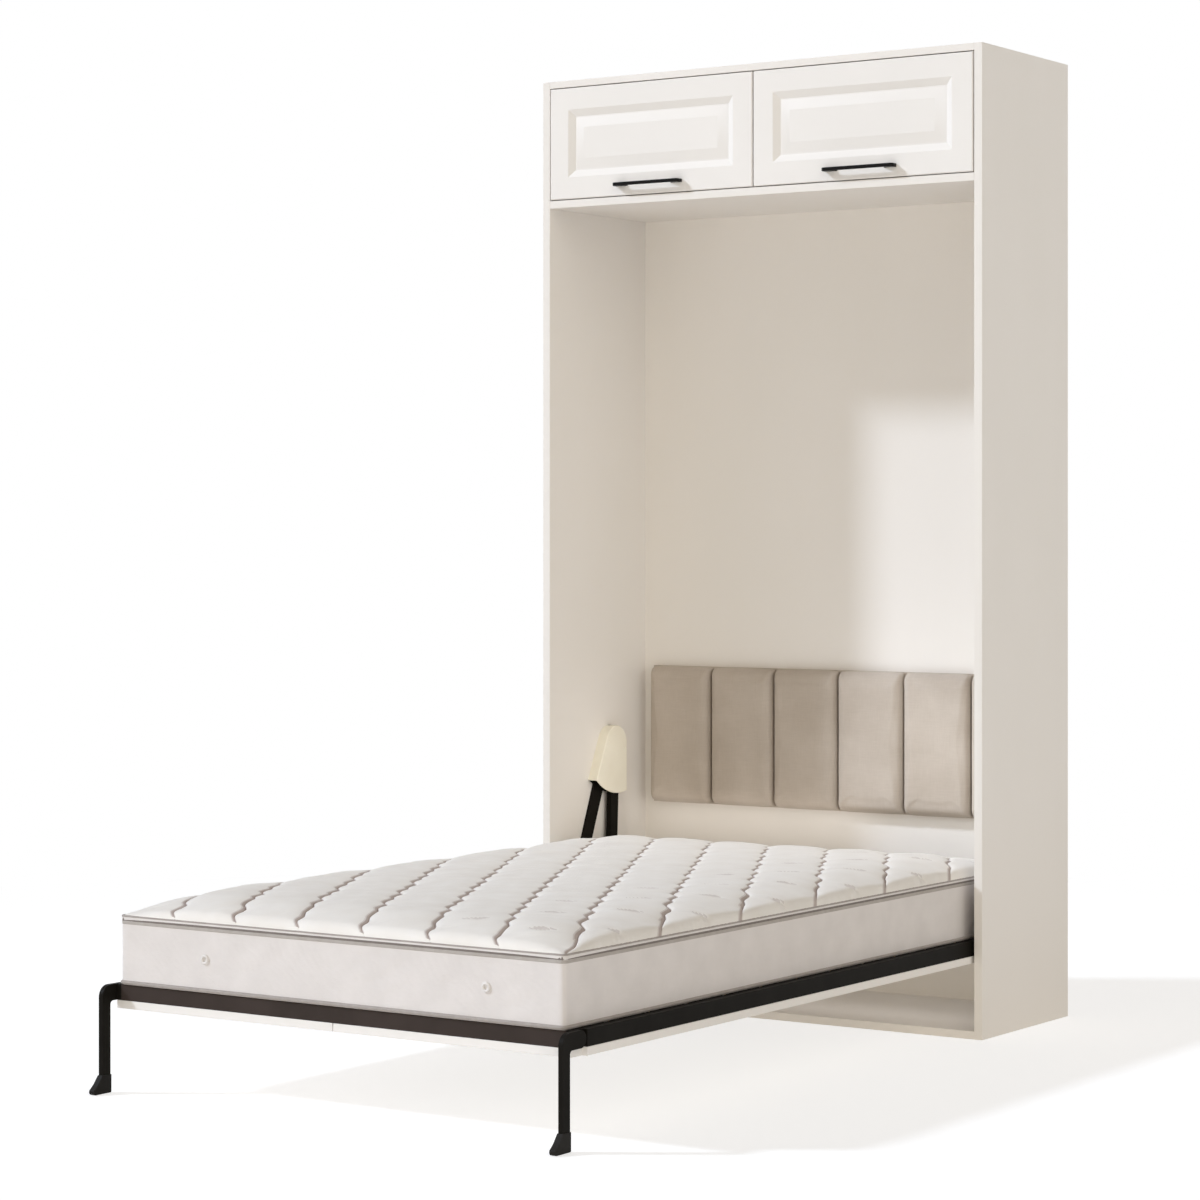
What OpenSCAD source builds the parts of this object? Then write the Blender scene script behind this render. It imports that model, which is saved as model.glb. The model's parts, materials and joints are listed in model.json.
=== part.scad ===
// Wall bed: a single bed that folds up into a cabinet with two flap doors above.
// Origin on the floor under the middle of the cabinet, +Y to the wall, +Z up.
// The bed is drawn lowered, with the doors shut. Lengths are in millimetres.

/* [Mattress] */
// Width of the mattress
mattress_w = 1196; // [900:2:1500]
// Length of the mattress
mattress_l = 2000; // [1800:5:2200]
// Height of the mattress from its base to the piping seam
mattress_side_h = 150; // [100:5:170]
// Rise of the quilted top above the piping seam
mattress_crown = 50; // [20:2:60]
// Depth of the sewn grooves in the quilted top
quilt_depth = 11; // [4:1:20]
// How far the long sides draw in between the corners
mattress_waist = 4; // [0:1:12]

/* [Bed frame] */
// Height of the frame rails
rail_h = 36; // [30:1:60]
// Thickness of the frame rails
rail_t = 24; // [22:1:40]
// Wall of the rail tubes
tube_wall = 2; // [1.5:0.5:4]
// Step from the mattress side to the outer face of the rail
mattress_side_gap = 24; // [24:1:40]
// Frame length beyond the mattress at the head
head_reach = 39; // [34:1:60]
// How far the mattress stands out over the foot rail
foot_overhang = 4; // [0:1:8]
// Number of steel cross bars under the slats
crossbar_count = 3; // [2:1:5]
// Width of each cross bar
crossbar_w = 24; // [18:1:30]
// Number of wooden slats
slat_count = 13; // [8:1:16]
// Width of a slat
slat_w = 68; // [50:2:80]
// Thickness of a slat
slat_t = 10; // [8:1:10]
// Length of a slat holder along the slat
holder_l = 40; // [30:1:60]
// Wall of a slat holder
holder_wall = 3; // [2:0.5:5]
// Height of the stop that keeps the mattress from sliding down
stop_h = 62; // [40:2:90]
// Thickness of the mattress stop
stop_t = 4; // [3:0.5:6]
// Width of the mattress stop
stop_w = 1000; // [300:10:1100]

/* [Face panels] */
// Height of the face panels over the floor when the bed is down
face_z = 184; // [180:1:260]
// Thickness of the face panels and of the frames on them
face_t = 18; // [16:1:25]
// Gap between the two face panels
face_seam = 3; // [2:0.5:6]
// Flat border round the fields of a face panel
face_border = 70; // [50:1:110]

/* [Legs] */
// Reach of the leg in front of its pivot
leg_reach = 66; // [56:1:100]
// Depth of the leg tube
leg_d = 26; // [20:1:30]
// Width of the leg tube
leg_w = 11; // [8:1:12]
// Outer radius of the bend at the top of the leg
leg_bend_r = 26; // [16:1:30]
// Inner radius of the bend at the top of the leg
leg_fillet_r = 8; // [4:1:12]
// Distance from the front of the frame back to the leg pivot
leg_pivot_back = 20; // [18:1:30]
// Diameter of the leg pivot pin
leg_pin_d = 10; // [6:1:14]
// Length of the shoe from heel to toe
shoe_l = 57; // [40:1:80]
// Height of the shoe
shoe_h = 40; // [25:1:60]
// Width of the shoe
shoe_w = 14; // [13:0.5:15]

/* [Cabinet] */
// Depth of the cabinet
cabinet_d = 475; // [440:5:600]
// Thickness of the side panels
side_t = 22; // [16:1:30]
// Thickness of the top panel
top_t = 18; // [16:1:30]
// Thickness of the shelf under the lockers
shelf_t = 20; // [16:1:30]
// Thickness of the bottom panel
bottom_t = 20; // [16:1:22]
// Thickness of the back panel
back_t = 12; // [8:1:18]
// Thickness of the partition between the lockers
partition_t = 18; // [16:1:30]
// Clear height of the lockers over the bed
locker_h = 298; // [240:2:450]
// Gap between the folded bed and the shelf
fold_top_gap = 11; // [8:1:30]
// Gap between the bed frame and each side panel
frame_side_gap = 8; // [8:0.5:12]

/* [Wall fixing] */
// Height of the fixing rail in the lockers
fixing_rail_h = 80; // [60:2:120]
// Thickness of the fixing rail
fixing_rail_t = 18; // [16:1:25]
// Diameter of the wall screw holes
fixing_hole_d = 8.5; // [6:0.5:12]
// Distance between the two wall screw holes of a locker
fixing_pitch = 380; // [160:10:400]

/* [Doors] */
// Thickness of the doors
door_t = 22; // [20:1:26]
// How far the doors stand in front of the cabinet edges
door_proud = 2; // [0:0.5:4]
// Gap above and below the doors
door_gap = 2.5; // [2:0.5:5]
// Gap between a door and the side panel
door_side_gap = 3; // [2:0.5:6]
// Gap between the two doors
door_mid_gap = 4; // [2:0.5:8]
// Radius of the eased edges round the door face
door_edge_r = 4; // [1:0.5:6]
// Flat border round the sunk field of a door
door_border = 54; // [48:1:80]
// Height of the flap axis under the top edge of the door
flap_drop = 4.5; // [3:0.5:6]

/* [Moulding] */
// Depth of the moulding below the face
mould_depth = 10; // [4:0.5:11]
// Width of the outer slope of the moulding
mould_slope = 22; // [10:1:40]
// Width of the flat quirk at the bottom of the moulding
mould_quirk = 4; // [2:0.5:10]
// Width of the bevel that rises to the field
mould_bevel = 27; // [10:1:40]
// Depth of the field below the face
field_depth = 4; // [1:0.5:6]

/* [Handles] */
// Length of a door handle
handle_l = 204; // [120:2:300]
// Height of a door handle
handle_h = 9; // [6:0.5:14]
// Distance of the handle front from the door face
handle_out = 24; // [18:1:40]
// Thickness of the grip
handle_grip = 7; // [5:0.5:10]
// Width of each handle foot at the door
handle_foot = 38; // [16:1:50]
// Height of the handle over the lower door edge
handle_up = 28; // [14:1:45]

/* [Flap hinges] */
// Diameter of the hinge cup
cup_d = 35; // [26:1:40]
// Depth of the hinge cup in the door
cup_depth = 12; // [9:0.5:13]
// Distance of the cup centre from the upper door edge
cup_down = 23; // [22:0.5:26]
// Distance of a cup centre from the side edge of the door
cup_inset = 90; // [60:5:150]
// Height of a hinge arm
arm_h = 10; // [6:0.5:14]
// Width of a hinge arm
arm_w = 20; // [16:1:24]
// Width of the slot in the hinge cup
cup_slot_w = 14; // [10:1:14]
// Reach of the arm's nose into the cup
nose_reach = 4; // [2:0.5:4]
// Length of the hinge base plate
hinge_base_l = 50; // [40:1:80]

/* [Headboard] */
// Height of the headboard above the floor
headboard_z = 494; // [470:2:700]
// Height of the headboard
headboard_h = 374; // [250:2:500]
// Number of upholstered channels
pad_count = 6; // [3:1:10]
// Thickness of the headboard pads
pad_t = 38; // [20:1:45]
// Thickness of the board behind the pads
headboard_t = 12; // [9:1:18]
// Gap between the headboard and each side panel
headboard_side_gap = 36; // [10:1:60]
// Joint between neighbouring pads
pad_gap = 0.6; // [0.6:0.1:3]
// Thickness of a pad at its rim
pad_rim = 24; // [12:1:30]

/* [Bed pivot] */
// Height of the bed pivot above the face panels
pivot_up = 97; // [90:1:120]
// Diameter of the bed pivot pin
pivot_pin_d = 16; // [12:1:20]
// Wall of the nylon bush on the pivot pin
bush_wall = 3; // [2:0.5:5]
// Thickness of the bush flange
bush_flange_t = 1.6; // [1:0.1:1.6]
// Diameter of the bush flange
bush_flange_d = 32; // [28:1:40]
// Thickness of the bearing plate on the frame
ear_t = 5.5; // [4:0.5:6]
// Radius of the bearing plate round the pivot
ear_r = 26; // [20:1:30]
// Thickness of the retaining washer
pivot_washer_t = 2.5; // [2:0.5:4]

/* [Lift mechanism] */
// Thickness of the lift plate on the side panel
plate_t = 6; // [4:0.5:6]
// Width of the leaning arm of the lift plate
plate_arm_w = 45; // [30:1:50]
// Radius of the lift plate round the bed pivot
plate_lobe_r = 42; // [30:1:46]
// Distance of the strut head behind the bed pivot
strut_head_back = 183; // [170:1:190]
// Height of the strut head above the bed pivot
strut_head_up = 407; // [380:1:430]
// Distance of the strut foot behind the bed pivot
strut_foot_back = 165; // [150:1:172]
// Distance of the strut foot below the bed pivot
strut_foot_down = 18; // [10:1:22]
// Length of the outer sleeve below the strut head
sleeve_l = 350; // [320:1:370]
// Depth of the outer sleeve
sleeve_d = 34; // [26:1:38]
// Thickness of the outer sleeve across the bed
sleeve_t = 15; // [13:0.5:15]
// Wall of the outer sleeve
sleeve_wall = 1.5; // [1:0.25:2]
// Depth of the sliding bar
bar_d = 26; // [16:1:28]
// Thickness of the sliding bar
bar_t = 8; // [6:0.5:9]
// Length of the sliding bar above the strut foot
bar_l = 330; // [320:1:350]
// Length of the guide block on the sliding bar
guide_l = 30; // [20:1:40]
// Radius of the eye at the strut foot
eye_r = 15; // [12:0.5:16]
// Diameter of the strut pins
strut_pin_d = 12; // [8:0.5:14]
// Plate screw diameter
screw_d = 5; // [4:0.5:6]
// Length of the plate screws in the wood
screw_l = 14; // [10:1:15]

/* [Lift cover] */
// Depth of the plastic cover off the side panel
cover_depth = 29; // [28.5:0.25:30]
// Wall of the plastic cover
cover_wall = 2.5; // [1.5:0.25:2.75]
// Radius of the rounded top of the cover
cover_top_r = 50; // [44:1:56]
// Radius of the arc at the bottom of the cover
cover_arc_r = 162; // [140:1:180]
// Forward reach of the cover at its lower front corner
cover_front = 100; // [90:1:110]

/* [Clearances] */
// Radial clearance of pins that turn in bores
pin_clear = 0.05; // [0.02:0.01:0.1]
// Gap where a soft part rests on a hard one
seat_gap = 0.3; // [0.1:0.1:1]
// Gap between sliding faces
slide_gap = 0.1; // [0.05:0.05:0.3]

/* [Hidden] */
$fn = 64;

// Widths, each measured from the middle of the bed
frame_x = mattress_w / 2 + mattress_side_gap;
rail_x = frame_x - rail_t;
inner_x = frame_x + frame_side_gap;
outer_x = inner_x + side_t;

// Heights of the bed when it is down
frame_z0 = face_z + face_t;
frame_z1 = frame_z0 + rail_h;
frame_zm = frame_z0 + rail_h / 2;
bed_z = frame_z1 + seat_gap;
slat_z1 = frame_z1 - 2;
slat_x = rail_x - holder_wall - 1;
holder_z0 = slat_z1 - slat_t - holder_wall;

// Depths along Y
front_y = -cabinet_d / 2;
rear_y = cabinet_d / 2;
back_y = rear_y - back_t;
pivot_z = face_z + pivot_up;
pivot_y = front_y + pivot_up;
frame_l = mattress_l + head_reach - foot_overhang;
tail_gap = 4;
tail_r = pivot_z - bottom_t - tail_gap;
frame_head_y = pivot_y + sqrt(tail_r * tail_r - pivot_up * pivot_up) - tail_gap - 1;
frame_foot_y = frame_head_y - frame_l;
mattress_foot_y = frame_foot_y - foot_overhang;

// Heights of the cabinet
shelf_z0 = pivot_z + pivot_y - frame_foot_y + fold_top_gap;
locker_z0 = shelf_z0 + shelf_t;
locker_z1 = locker_z0 + locker_h;
cabinet_h = locker_z1 + top_t;
locker_mid = (partition_t / 2 + inner_x) / 2;

// Doors
door_x0 = door_mid_gap / 2;
door_x1 = inner_x - door_side_gap;
door_w = door_x1 - door_x0;
door_z0 = locker_z0 + door_gap;
door_z1 = locker_z1 - door_gap;
door_h = door_z1 - door_z0;
door_y0 = front_y - door_proud;
door_y1 = door_y0 + door_t;
flap_z = door_z1 - flap_drop;
cup_z = door_z1 - cup_down;
cup_flange_t = 1.5;
cup_back_y = door_y1 + cup_flange_t;
arm_y0 = cup_back_y + seat_gap;

// Leg
leg_x1 = frame_x;
leg_x0 = frame_x - leg_w;
leg_pivot_y = frame_foot_y + leg_pivot_back;
leg_front_y = leg_pivot_y - leg_reach;
leg_back_y = leg_front_y + leg_d;
leg_root_r = rail_h / 2;
leg_slot_gap = 1.5;
tongue_x1 = leg_x0 - 0.5;
notch_y = leg_pivot_y + leg_root_r + 3;
shoe_sole = 8;
shoe_wall = 1.5;

// Strut, on the right side of the bed
wall_face_x = inner_x - plate_t;
ear_x0 = frame_x - ear_t;
bar_x1 = ear_x0 - 0.5;
bar_x0 = bar_x1 - bar_t;
strut_x = (bar_x0 + bar_x1) / 2;
sleeve_x0 = strut_x - sleeve_t / 2;
head_y = pivot_y + strut_head_back;
head_z = pivot_z + strut_head_up;
foot_y = pivot_y + strut_foot_back;
foot_z = pivot_z - strut_foot_down;
strut_lean = atan2(head_y - foot_y, head_z - foot_z);
strut_len = norm([head_y - foot_y, head_z - foot_z]);
screw_head_r = screw_d * 0.9;
screw_head_h = 2.5;
screw_sink = 0.3;
screw_seat_x = wall_face_x + screw_sink;
pin_washer_r = 13;
ear_foot_r = 17;

// Cover outline, seen from the side
cover_x0 = inner_x - cover_depth;
cover_top_y = head_y - 3;
cover_top_z = head_z - 28;
cover_arc_y = head_y + 8;
cover_low_z = head_z - 121;
dimple_r = 3.5;
dimples = [[head_y - 42, head_z - 18], [head_y + 34, head_z - 38]];

// Turns the side view (Y, Z) into a plate of thickness t that starts at x0
module plate_at(x0, t) {
  translate([x0, 0, 0])
    rotate([90, 0, 90])
      linear_extrude(t) children();
}

// Puts a piece that is drawn for the right side on the given side
module on_side(side) {
  mirror([side < 0 ? 1 : 0, 0, 0]) children();
}

// A box from its lowest corner to its highest corner
module box(a, b) {
  translate(a) cube([b[0] - a[0], b[1] - a[1], b[2] - a[2]]);
}

// A round bar or bore along X
module along_x(x0, x1, y, z, r, r2 = undef) {
  translate([x0, y, z])
    rotate([0, 90, 0])
      cylinder(h = x1 - x0, r1 = r, r2 = is_undef(r2) ? r : r2);
}

// A round bar or bore along Y
module along_y(x, y0, y1, z, r) {
  translate([x, y1, z])
    rotate([90, 0, 0])
      cylinder(h = y1 - y0, r = r);
}

// Corners of the straight part between two tangent circles
function link_points(c1, r1, c2, r2) =
  let (d = c2 - c1, t = atan2(d[1], d[0]), a = acos((r1 - r2) / norm(d)))
  [for (p = [[c1, r1, 1], [c2, r2, 1], [c2, r2, -1], [c1, r1, -1]])
    p[0] + p[1] * [cos(t + p[2] * a), sin(t + p[2] * a)]];

// A plate with two round ends that are joined by their tangents
module link_plate(x0, t, c1, r1, c2, r2) {
  plate_at(x0, t) translate(c1) circle(r1);
  plate_at(x0, t) translate(c2) circle(r2);
  plate_at(x0, t) polygon(link_points(c1, r1, c2, r2));
}

// A straight-sided block between two centred rectangles at different depths
module frustum(low, low_z, high, high_z) {
  points = [for (f = [[low, low_z], [high, high_z]])
    for (c = [[-1, -1], [1, -1], [1, 1], [-1, 1]])
      [c[0] * f[0][0] / 2, c[1] * f[0][1] / 2, f[1]]];
  faces = [[0, 1, 2, 3], [7, 6, 5, 4], [4, 5, 1, 0], [5, 6, 2, 1], [6, 7, 3, 2], [7, 4, 0, 3]];
  polyhedron(points, faces);
}

// Moulded ring and sunk field cut into a face at z = 0, over a w by h rectangle
module field_cut(w, h) {
  over = 1;
  run = over * mould_slope / mould_depth;
  inner = [w - 2 * mould_slope, h - 2 * mould_slope];
  island = inner - 2 * [mould_quirk, mould_quirk];
  top = island - 2 * [mould_bevel, mould_bevel];
  difference() {
    frustum(inner, -mould_depth, [w + 2 * run, h + 2 * run], over);
    frustum(island, -mould_depth - over, island, -mould_depth);
    frustum(island, -mould_depth, top, -field_depth);
  }
}

// Grid surface closed by rings and a flat base. Points are given row by row.
function grid_faces(nx, ny) =
  [for (j = [0 : ny - 1]) for (i = [0 : nx - 1])
    let (a = j * (nx + 1) + i, b = a + 1, c = a + nx + 1, d = c + 1)
    each [[a, c, b], [b, c, d]]];

// Indices of the grid rim, counter-clockwise seen from above
function rim_loop(nx, ny) = concat(
  [for (i = [0 : nx - 1]) i],
  [for (j = [0 : ny - 1]) j * (nx + 1) + nx],
  [for (i = [nx : -1 : 1]) ny * (nx + 1) + i],
  [for (j = [ny : -1 : 1]) j * (nx + 1)]);

// Faces of a band between two loops of equal length
function band_faces(upper, lower) =
  let (n = len(upper))
  [for (k = [0 : n - 1])
    let (m = (k + 1) % n)
    each [[upper[k], upper[m], lower[k]], [upper[m], lower[m], lower[k]]]];

// A padded form: a grid on top, rings down its sides and a flat base
module padded_form(grid, nx, ny, rings, base) {
  rim = rim_loop(nx, ny);
  n = len(rim);
  first = len(grid);
  loops = concat([rim], [for (k = [0 : len(rings) - 1]) [for (i = [0 : n - 1]) first + k * n + i]]);
  centre = first + len(rings) * n;
  last = loops[len(loops) - 1];
  points = concat(grid, [for (r = rings) each r], [base]);
  faces = concat(
    grid_faces(nx, ny),
    [for (k = [0 : len(rings) - 1]) each band_faces(loops[k], loops[k + 1])],
    [for (k = [0 : n - 1]) [last[k], last[(k + 1) % n], centre]]);
  polyhedron(points, faces);
}

// Cabinet side with the bores for the lift plate screws
module side_panel(side) {
  color("linen") on_side(side) difference() {
    box([inner_x, front_y, 0], [outer_x, rear_y, cabinet_h]);
    for (p = plate_screws())
      along_x(inner_x - 1, inner_x + screw_l + 0.5, p[0], p[1], screw_d / 2 + slide_gap / 2);
  }
}

module left_side_panel() { side_panel(-1); }

module right_side_panel() { side_panel(1); }

module top_panel() {
  color("linen") box([-inner_x, front_y, locker_z1], [inner_x, back_y, cabinet_h]);
}

module bottom_panel() {
  color("linen") box([-inner_x, front_y, 0], [inner_x, back_y, bottom_t]);
}

module shelf_panel() {
  color("linen") box([-inner_x, front_y, shelf_z0], [inner_x, back_y, locker_z0]);
}

// Partition, notched at the back for the fixing rail
module centre_partition() {
  color("linen") difference() {
    box([-partition_t / 2, door_y1 + 2, locker_z0], [partition_t / 2, back_y, locker_z1]);
    box([-partition_t, back_y - fixing_rail_t, locker_z1 - fixing_rail_h],
      [partition_t, rear_y, cabinet_h]);
  }
}

// X positions of the wall screws, two in the middle of each locker
function fixing_xs() = [for (side = [-1, 1]) for (s = [-1, 1])
  side * (locker_mid + s * fixing_pitch / 2)];

module fixing_bores() {
  for (x = fixing_xs())
    along_y(x, back_y - fixing_rail_t - 1, rear_y + 1, locker_z1 - fixing_rail_h / 2, fixing_hole_d / 2);
}

module back_panel() {
  color("linen") difference() {
    box([-inner_x, back_y, 0], [inner_x, rear_y, cabinet_h]);
    fixing_bores();
  }
}

module wall_fixing_rail() {
  color("linen") difference() {
    box([-inner_x, back_y - fixing_rail_t, locker_z1 - fixing_rail_h], [inner_x, back_y, locker_z1]);
    fixing_bores();
  }
}

module headboard_board() {
  w = inner_x - headboard_side_gap;
  color("tan") box([-w, back_y - headboard_t, headboard_z], [w, back_y, headboard_z + headboard_h]);
}

// Swell of a pad across one direction, from 0 at the rim to 1
function swell(u) = pow(max(0, 1 - pow(abs(u), 5)), 0.5);

// Grid parameter that packs its rows close to the rim
function packed(i, n) = sin(90 * (2 * i / n - 1));

// One upholstered channel of the headboard, counted from the left
module headboard_pad(index) {
  nx = 8;
  nz = 12;
  pitch = 2 * (inner_x - headboard_side_gap) / pad_count;
  mid_x = (index - (pad_count + 1) / 2) * pitch;
  mid_z = headboard_z + headboard_h / 2;
  half = [(pitch - pad_gap) / 2, headboard_h / 2];
  seat = back_y - headboard_t - seat_gap;
  grid = [for (j = [0 : nz]) for (i = [0 : nx])
    let (u = packed(i, nx), v = packed(j, nz))
    [u * half[0], v * half[1], pad_rim - seat_gap + (pad_t - pad_rim) * swell(u) * swell(v)]];
  rim = [for (k = rim_loop(nx, nz)) grid[k]];
  draw = 1 - 1.2 / half[0];
  rings = [for (p = [[pad_rim * 0.5, 1], [0, draw]])
    [for (q = rim) [q[0] * p[1], q[1] * p[1], p[0]]]];
  color("tan") translate([mid_x, seat, mid_z])
    rotate([90, 0, 0])
      padded_form(grid, nx, nz, rings, [0, 0, 0]);
}

module headboard_pad_1() { headboard_pad(1); }

module headboard_pad_2() { headboard_pad(2); }

module headboard_pad_3() { headboard_pad(3); }

module headboard_pad_4() { headboard_pad(4); }

module headboard_pad_5() { headboard_pad(5); }

module headboard_pad_6() { headboard_pad(6); }

// Fan outline of the cover, drawn in by the given amount
module cover_outline(draw_in, arc_r) {
  top = [cover_top_y, cover_top_z];
  r = cover_top_r - draw_in;
  low = [head_y - cover_front + draw_in, cover_low_z];
  d = low - top;
  t = atan2(d[1], d[0]) - acos(r / norm(d));
  tangent = top + r * [cos(t), sin(t)];
  slope = low - tangent;
  far = tangent + slope * 1.4;
  intersection() {
    union() {
      translate(top) circle(r);
      polygon([tangent, top, [top[0] + r, top[1]], [top[0] + r, far[1] - 40], far - [0, 40], far]);
    }
    translate([cover_arc_y, head_z]) circle(arc_r, $fn = 128);
  }
}

// Lower and upper ends of the leaning arm of the lift plate
function arm_low() = [pivot_y + 18, pivot_z];
function arm_high() = [head_y, head_z];

// Screw positions in the lift plate, seen from the side
function plate_screws() = concat(
  [for (a = [150, 270, 30]) [pivot_y, pivot_z] + (plate_lobe_r - 12) * [cos(a), sin(a)]],
  [[head_y - 30, head_z - 60], [head_y + 34, head_z - 8], [head_y + 34, head_z - 90]]);

// Plate on the side panel: pivot lobe, leaning arm and the head under the cover
module lift_plate(side) {
  color([0.12, 0.11, 0.1]) on_side(side) difference() {
    union() {
      plate_at(wall_face_x, plate_t) translate([pivot_y, pivot_z]) circle(plate_lobe_r);
      link_plate(wall_face_x, plate_t, arm_low(), plate_arm_w / 2, arm_high(), plate_arm_w / 2);
      plate_at(wall_face_x, plate_t) cover_outline(cover_wall + 1, cover_arc_r - 3);
    }
    along_x(wall_face_x - 1, inner_x + 1, pivot_y, pivot_z, pivot_pin_d / 2 + slide_gap / 5);
    along_x(wall_face_x - 1, inner_x + 1, head_y, head_z, strut_pin_d / 2 + slide_gap / 5);
    for (p = plate_screws()) {
      bore_r = screw_d / 2 + slide_gap;
      sink_r = screw_head_r + slide_gap;
      along_x(wall_face_x - 1, inner_x + 1, p[0], p[1], bore_r);
      along_x(wall_face_x - 1, screw_seat_x, p[0], p[1], sink_r);
      along_x(screw_seat_x, screw_seat_x + screw_head_h, p[0], p[1], sink_r, bore_r);
    }
  }
}

module left_lift_plate() { lift_plate(-1); }

module right_lift_plate() { lift_plate(1); }

// Countersunk screws that hold both lift plates
module lift_plate_screws() {
  color("dimgray") for (side = [-1, 1])
    on_side(side)
      for (p = plate_screws()) {
        shank_x = screw_seat_x + screw_head_h;
        along_x(screw_seat_x, shank_x, p[0], p[1], screw_head_r, screw_d / 2);
        along_x(shank_x, inner_x + screw_l, p[0], p[1], screw_d / 2);
      }
}

// Plastic cover over the strut head, open at the back and along its lower arc
module lift_cover(side) {
  color([0.84, 0.81, 0.72]) on_side(side) {
    difference() {
      plate_at(cover_x0, cover_depth) cover_outline(0, cover_arc_r);
      plate_at(cover_x0 + cover_wall, cover_depth) cover_outline(cover_wall, cover_arc_r + 10);
      for (p = dimples)
        along_x(cover_x0 - 1, cover_x0 + 1.2, p[0], p[1], dimple_r);
      arm_r = plate_arm_w / 2 + seat_gap;
      link_plate(wall_face_x - seat_gap, plate_t + 1, arm_low(), arm_r, arm_high(), arm_r);
    }
    for (p = dimples)
      along_x(cover_x0 + cover_wall - 0.5, wall_face_x, p[0], p[1], dimple_r + 1);
  }
}

module left_lift_cover() { lift_cover(-1); }

module right_lift_cover() { lift_cover(1); }

// Bed pivot pins with their retaining washers, one on each side
module bed_pivot_pins() {
  washer_x = ear_x0 - 0.5;
  color("silver") for (side = [-1, 1])
    on_side(side) {
      along_x(washer_x - 2, inner_x, pivot_y, pivot_z, pivot_pin_d / 2);
      along_x(washer_x - pivot_washer_t, washer_x, pivot_y, pivot_z, pin_washer_r);
    }
}

// Pins at the strut heads, with the collar that spaces the sleeve off the plate
module strut_head_pins() {
  color("silver") for (side = [-1, 1])
    on_side(side) {
      along_x(sleeve_x0 + 0.2, inner_x, head_y, head_z, strut_pin_d / 2);
      along_x(sleeve_x0 + sleeve_t + slide_gap, wall_face_x, head_y, head_z, strut_pin_d / 2 + 3);
    }
}

// Places a strut piece that is drawn hanging straight down from the strut head
module on_strut(side) {
  on_side(side)
    translate([0, head_y, head_z])
      rotate([-strut_lean, 0, 0]) children();
}

// Outer sleeve of the lift strut: a flat tube with a solid eye end
module strut_sleeve(side) {
  block = strut_pin_d / 2 + 14;
  color([0.12, 0.11, 0.1]) on_strut(side) difference() {
    plate_at(sleeve_x0, sleeve_t) {
      circle(sleeve_d / 2);
      translate([-sleeve_d / 2, -sleeve_l]) square([sleeve_d, sleeve_l]);
    }
    box([sleeve_x0 + sleeve_wall, -sleeve_d / 2 + sleeve_wall, -sleeve_l - 1],
      [sleeve_x0 + sleeve_t - sleeve_wall, sleeve_d / 2 - sleeve_wall, -block]);
    along_x(sleeve_x0 - 1, sleeve_x0 + sleeve_t + 1, 0, 0, strut_pin_d / 2 + pin_clear);
  }
}

module left_strut_sleeve() { strut_sleeve(-1); }

module right_strut_sleeve() { strut_sleeve(1); }

// Sliding bar with its guide block and the pin of its eye
module strut_bar(side) {
  top_z = -strut_len + bar_l;
  guide_x = sleeve_t / 2 - sleeve_wall - slide_gap;
  guide_y = sleeve_d / 2 - sleeve_wall - slide_gap;
  foot_pin_d = strut_pin_d - 2;
  color([0.16, 0.15, 0.14]) on_strut(side) {
    difference() {
      union() {
        plate_at(bar_x0, bar_t) {
          translate([0, -strut_len]) circle(eye_r);
          translate([-bar_d / 2, -strut_len]) square([bar_d, bar_l]);
        }
        box([strut_x - guide_x, -guide_y, top_z - guide_l], [strut_x + guide_x, guide_y, top_z]);
      }
      along_x(bar_x0 - 1, bar_x1 + 1, 0, -strut_len, foot_pin_d / 2 + slide_gap / 5);
    }
    along_x(bar_x0 - 3, bar_x0, 0, -strut_len, foot_pin_d / 2 + 4);
    along_x(bar_x0 - 0.5, bar_x1, 0, -strut_len, foot_pin_d / 2);
  }
}

module left_strut_bar() { strut_bar(-1); }

module right_strut_bar() { strut_bar(1); }

// A slab whose edges round the front face are eased, front face at y0
module eased_slab(x0, x1, y0, y1, z0, z1, r) {
  intersection() {
    translate([0, 0, z0])
      linear_extrude(z1 - z0) eased_profile(x0, x1, y0, y1, r);
    translate([x1, 0, 0])
      rotate([90, 0, -90])
        linear_extrude(x1 - x0)
          mirror([1, 0]) rotate(90) mirror([0, 1]) eased_profile(z0, z1, y0, y1, r);
  }
}

// Profile with its two corners at the low y rounded
module eased_profile(a0, a1, y0, y1, r) {
  translate([a0, y0 + r]) square([a1 - a0, y1 - y0 - r]);
  translate([a0 + r, y0]) square([a1 - a0 - 2 * r, r + 0.01]);
  for (a = [a0 + r, a1 - r])
    translate([a, y0 + r]) circle(r);
}

// X positions of the hinge cups of a door
function cup_xs() = [door_x0 + cup_inset, door_x1 - cup_inset];

// Raised-panel flap door with bores for the hinge cups in its back
module door(side) {
  mid = [(door_x0 + door_x1) / 2, door_y0, (door_z0 + door_z1) / 2];
  color("whitesmoke") on_side(side) difference() {
    eased_slab(door_x0, door_x1, door_y0, door_y1, door_z0, door_z1, door_edge_r);
    translate(mid)
      rotate([90, 0, 0]) field_cut(door_w - 2 * door_border, door_h - 2 * door_border);
    for (x = cup_xs())
      along_y(x, door_y1 - cup_depth, door_y1 + 1, cup_z, cup_d / 2 + slide_gap);
  }
}

module left_door() { door(-1); }

module right_door() { door(1); }

// Arched handle seen from above: broad feet that run into a slim grip
module handle_profile() {
  r = handle_h;
  half = handle_l / 2;
  foot_in = half - handle_foot;
  grip_in = half - handle_foot * 0.55;
  deep = handle_out - handle_grip;
  difference() {
    union() {
      translate([-half + r, -handle_out]) square([handle_l - 2 * r, handle_out]);
      translate([-half, -handle_out + r]) square([handle_l, handle_out - r]);
      for (s = [-1, 1]) translate([s * (half - r), -handle_out + r]) circle(r);
    }
    polygon([[-foot_in, 1], [-grip_in, -deep + 4], [-grip_in + 6, -deep],
      [grip_in - 6, -deep], [grip_in, -deep + 4], [foot_in, 1]]);
  }
}

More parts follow.
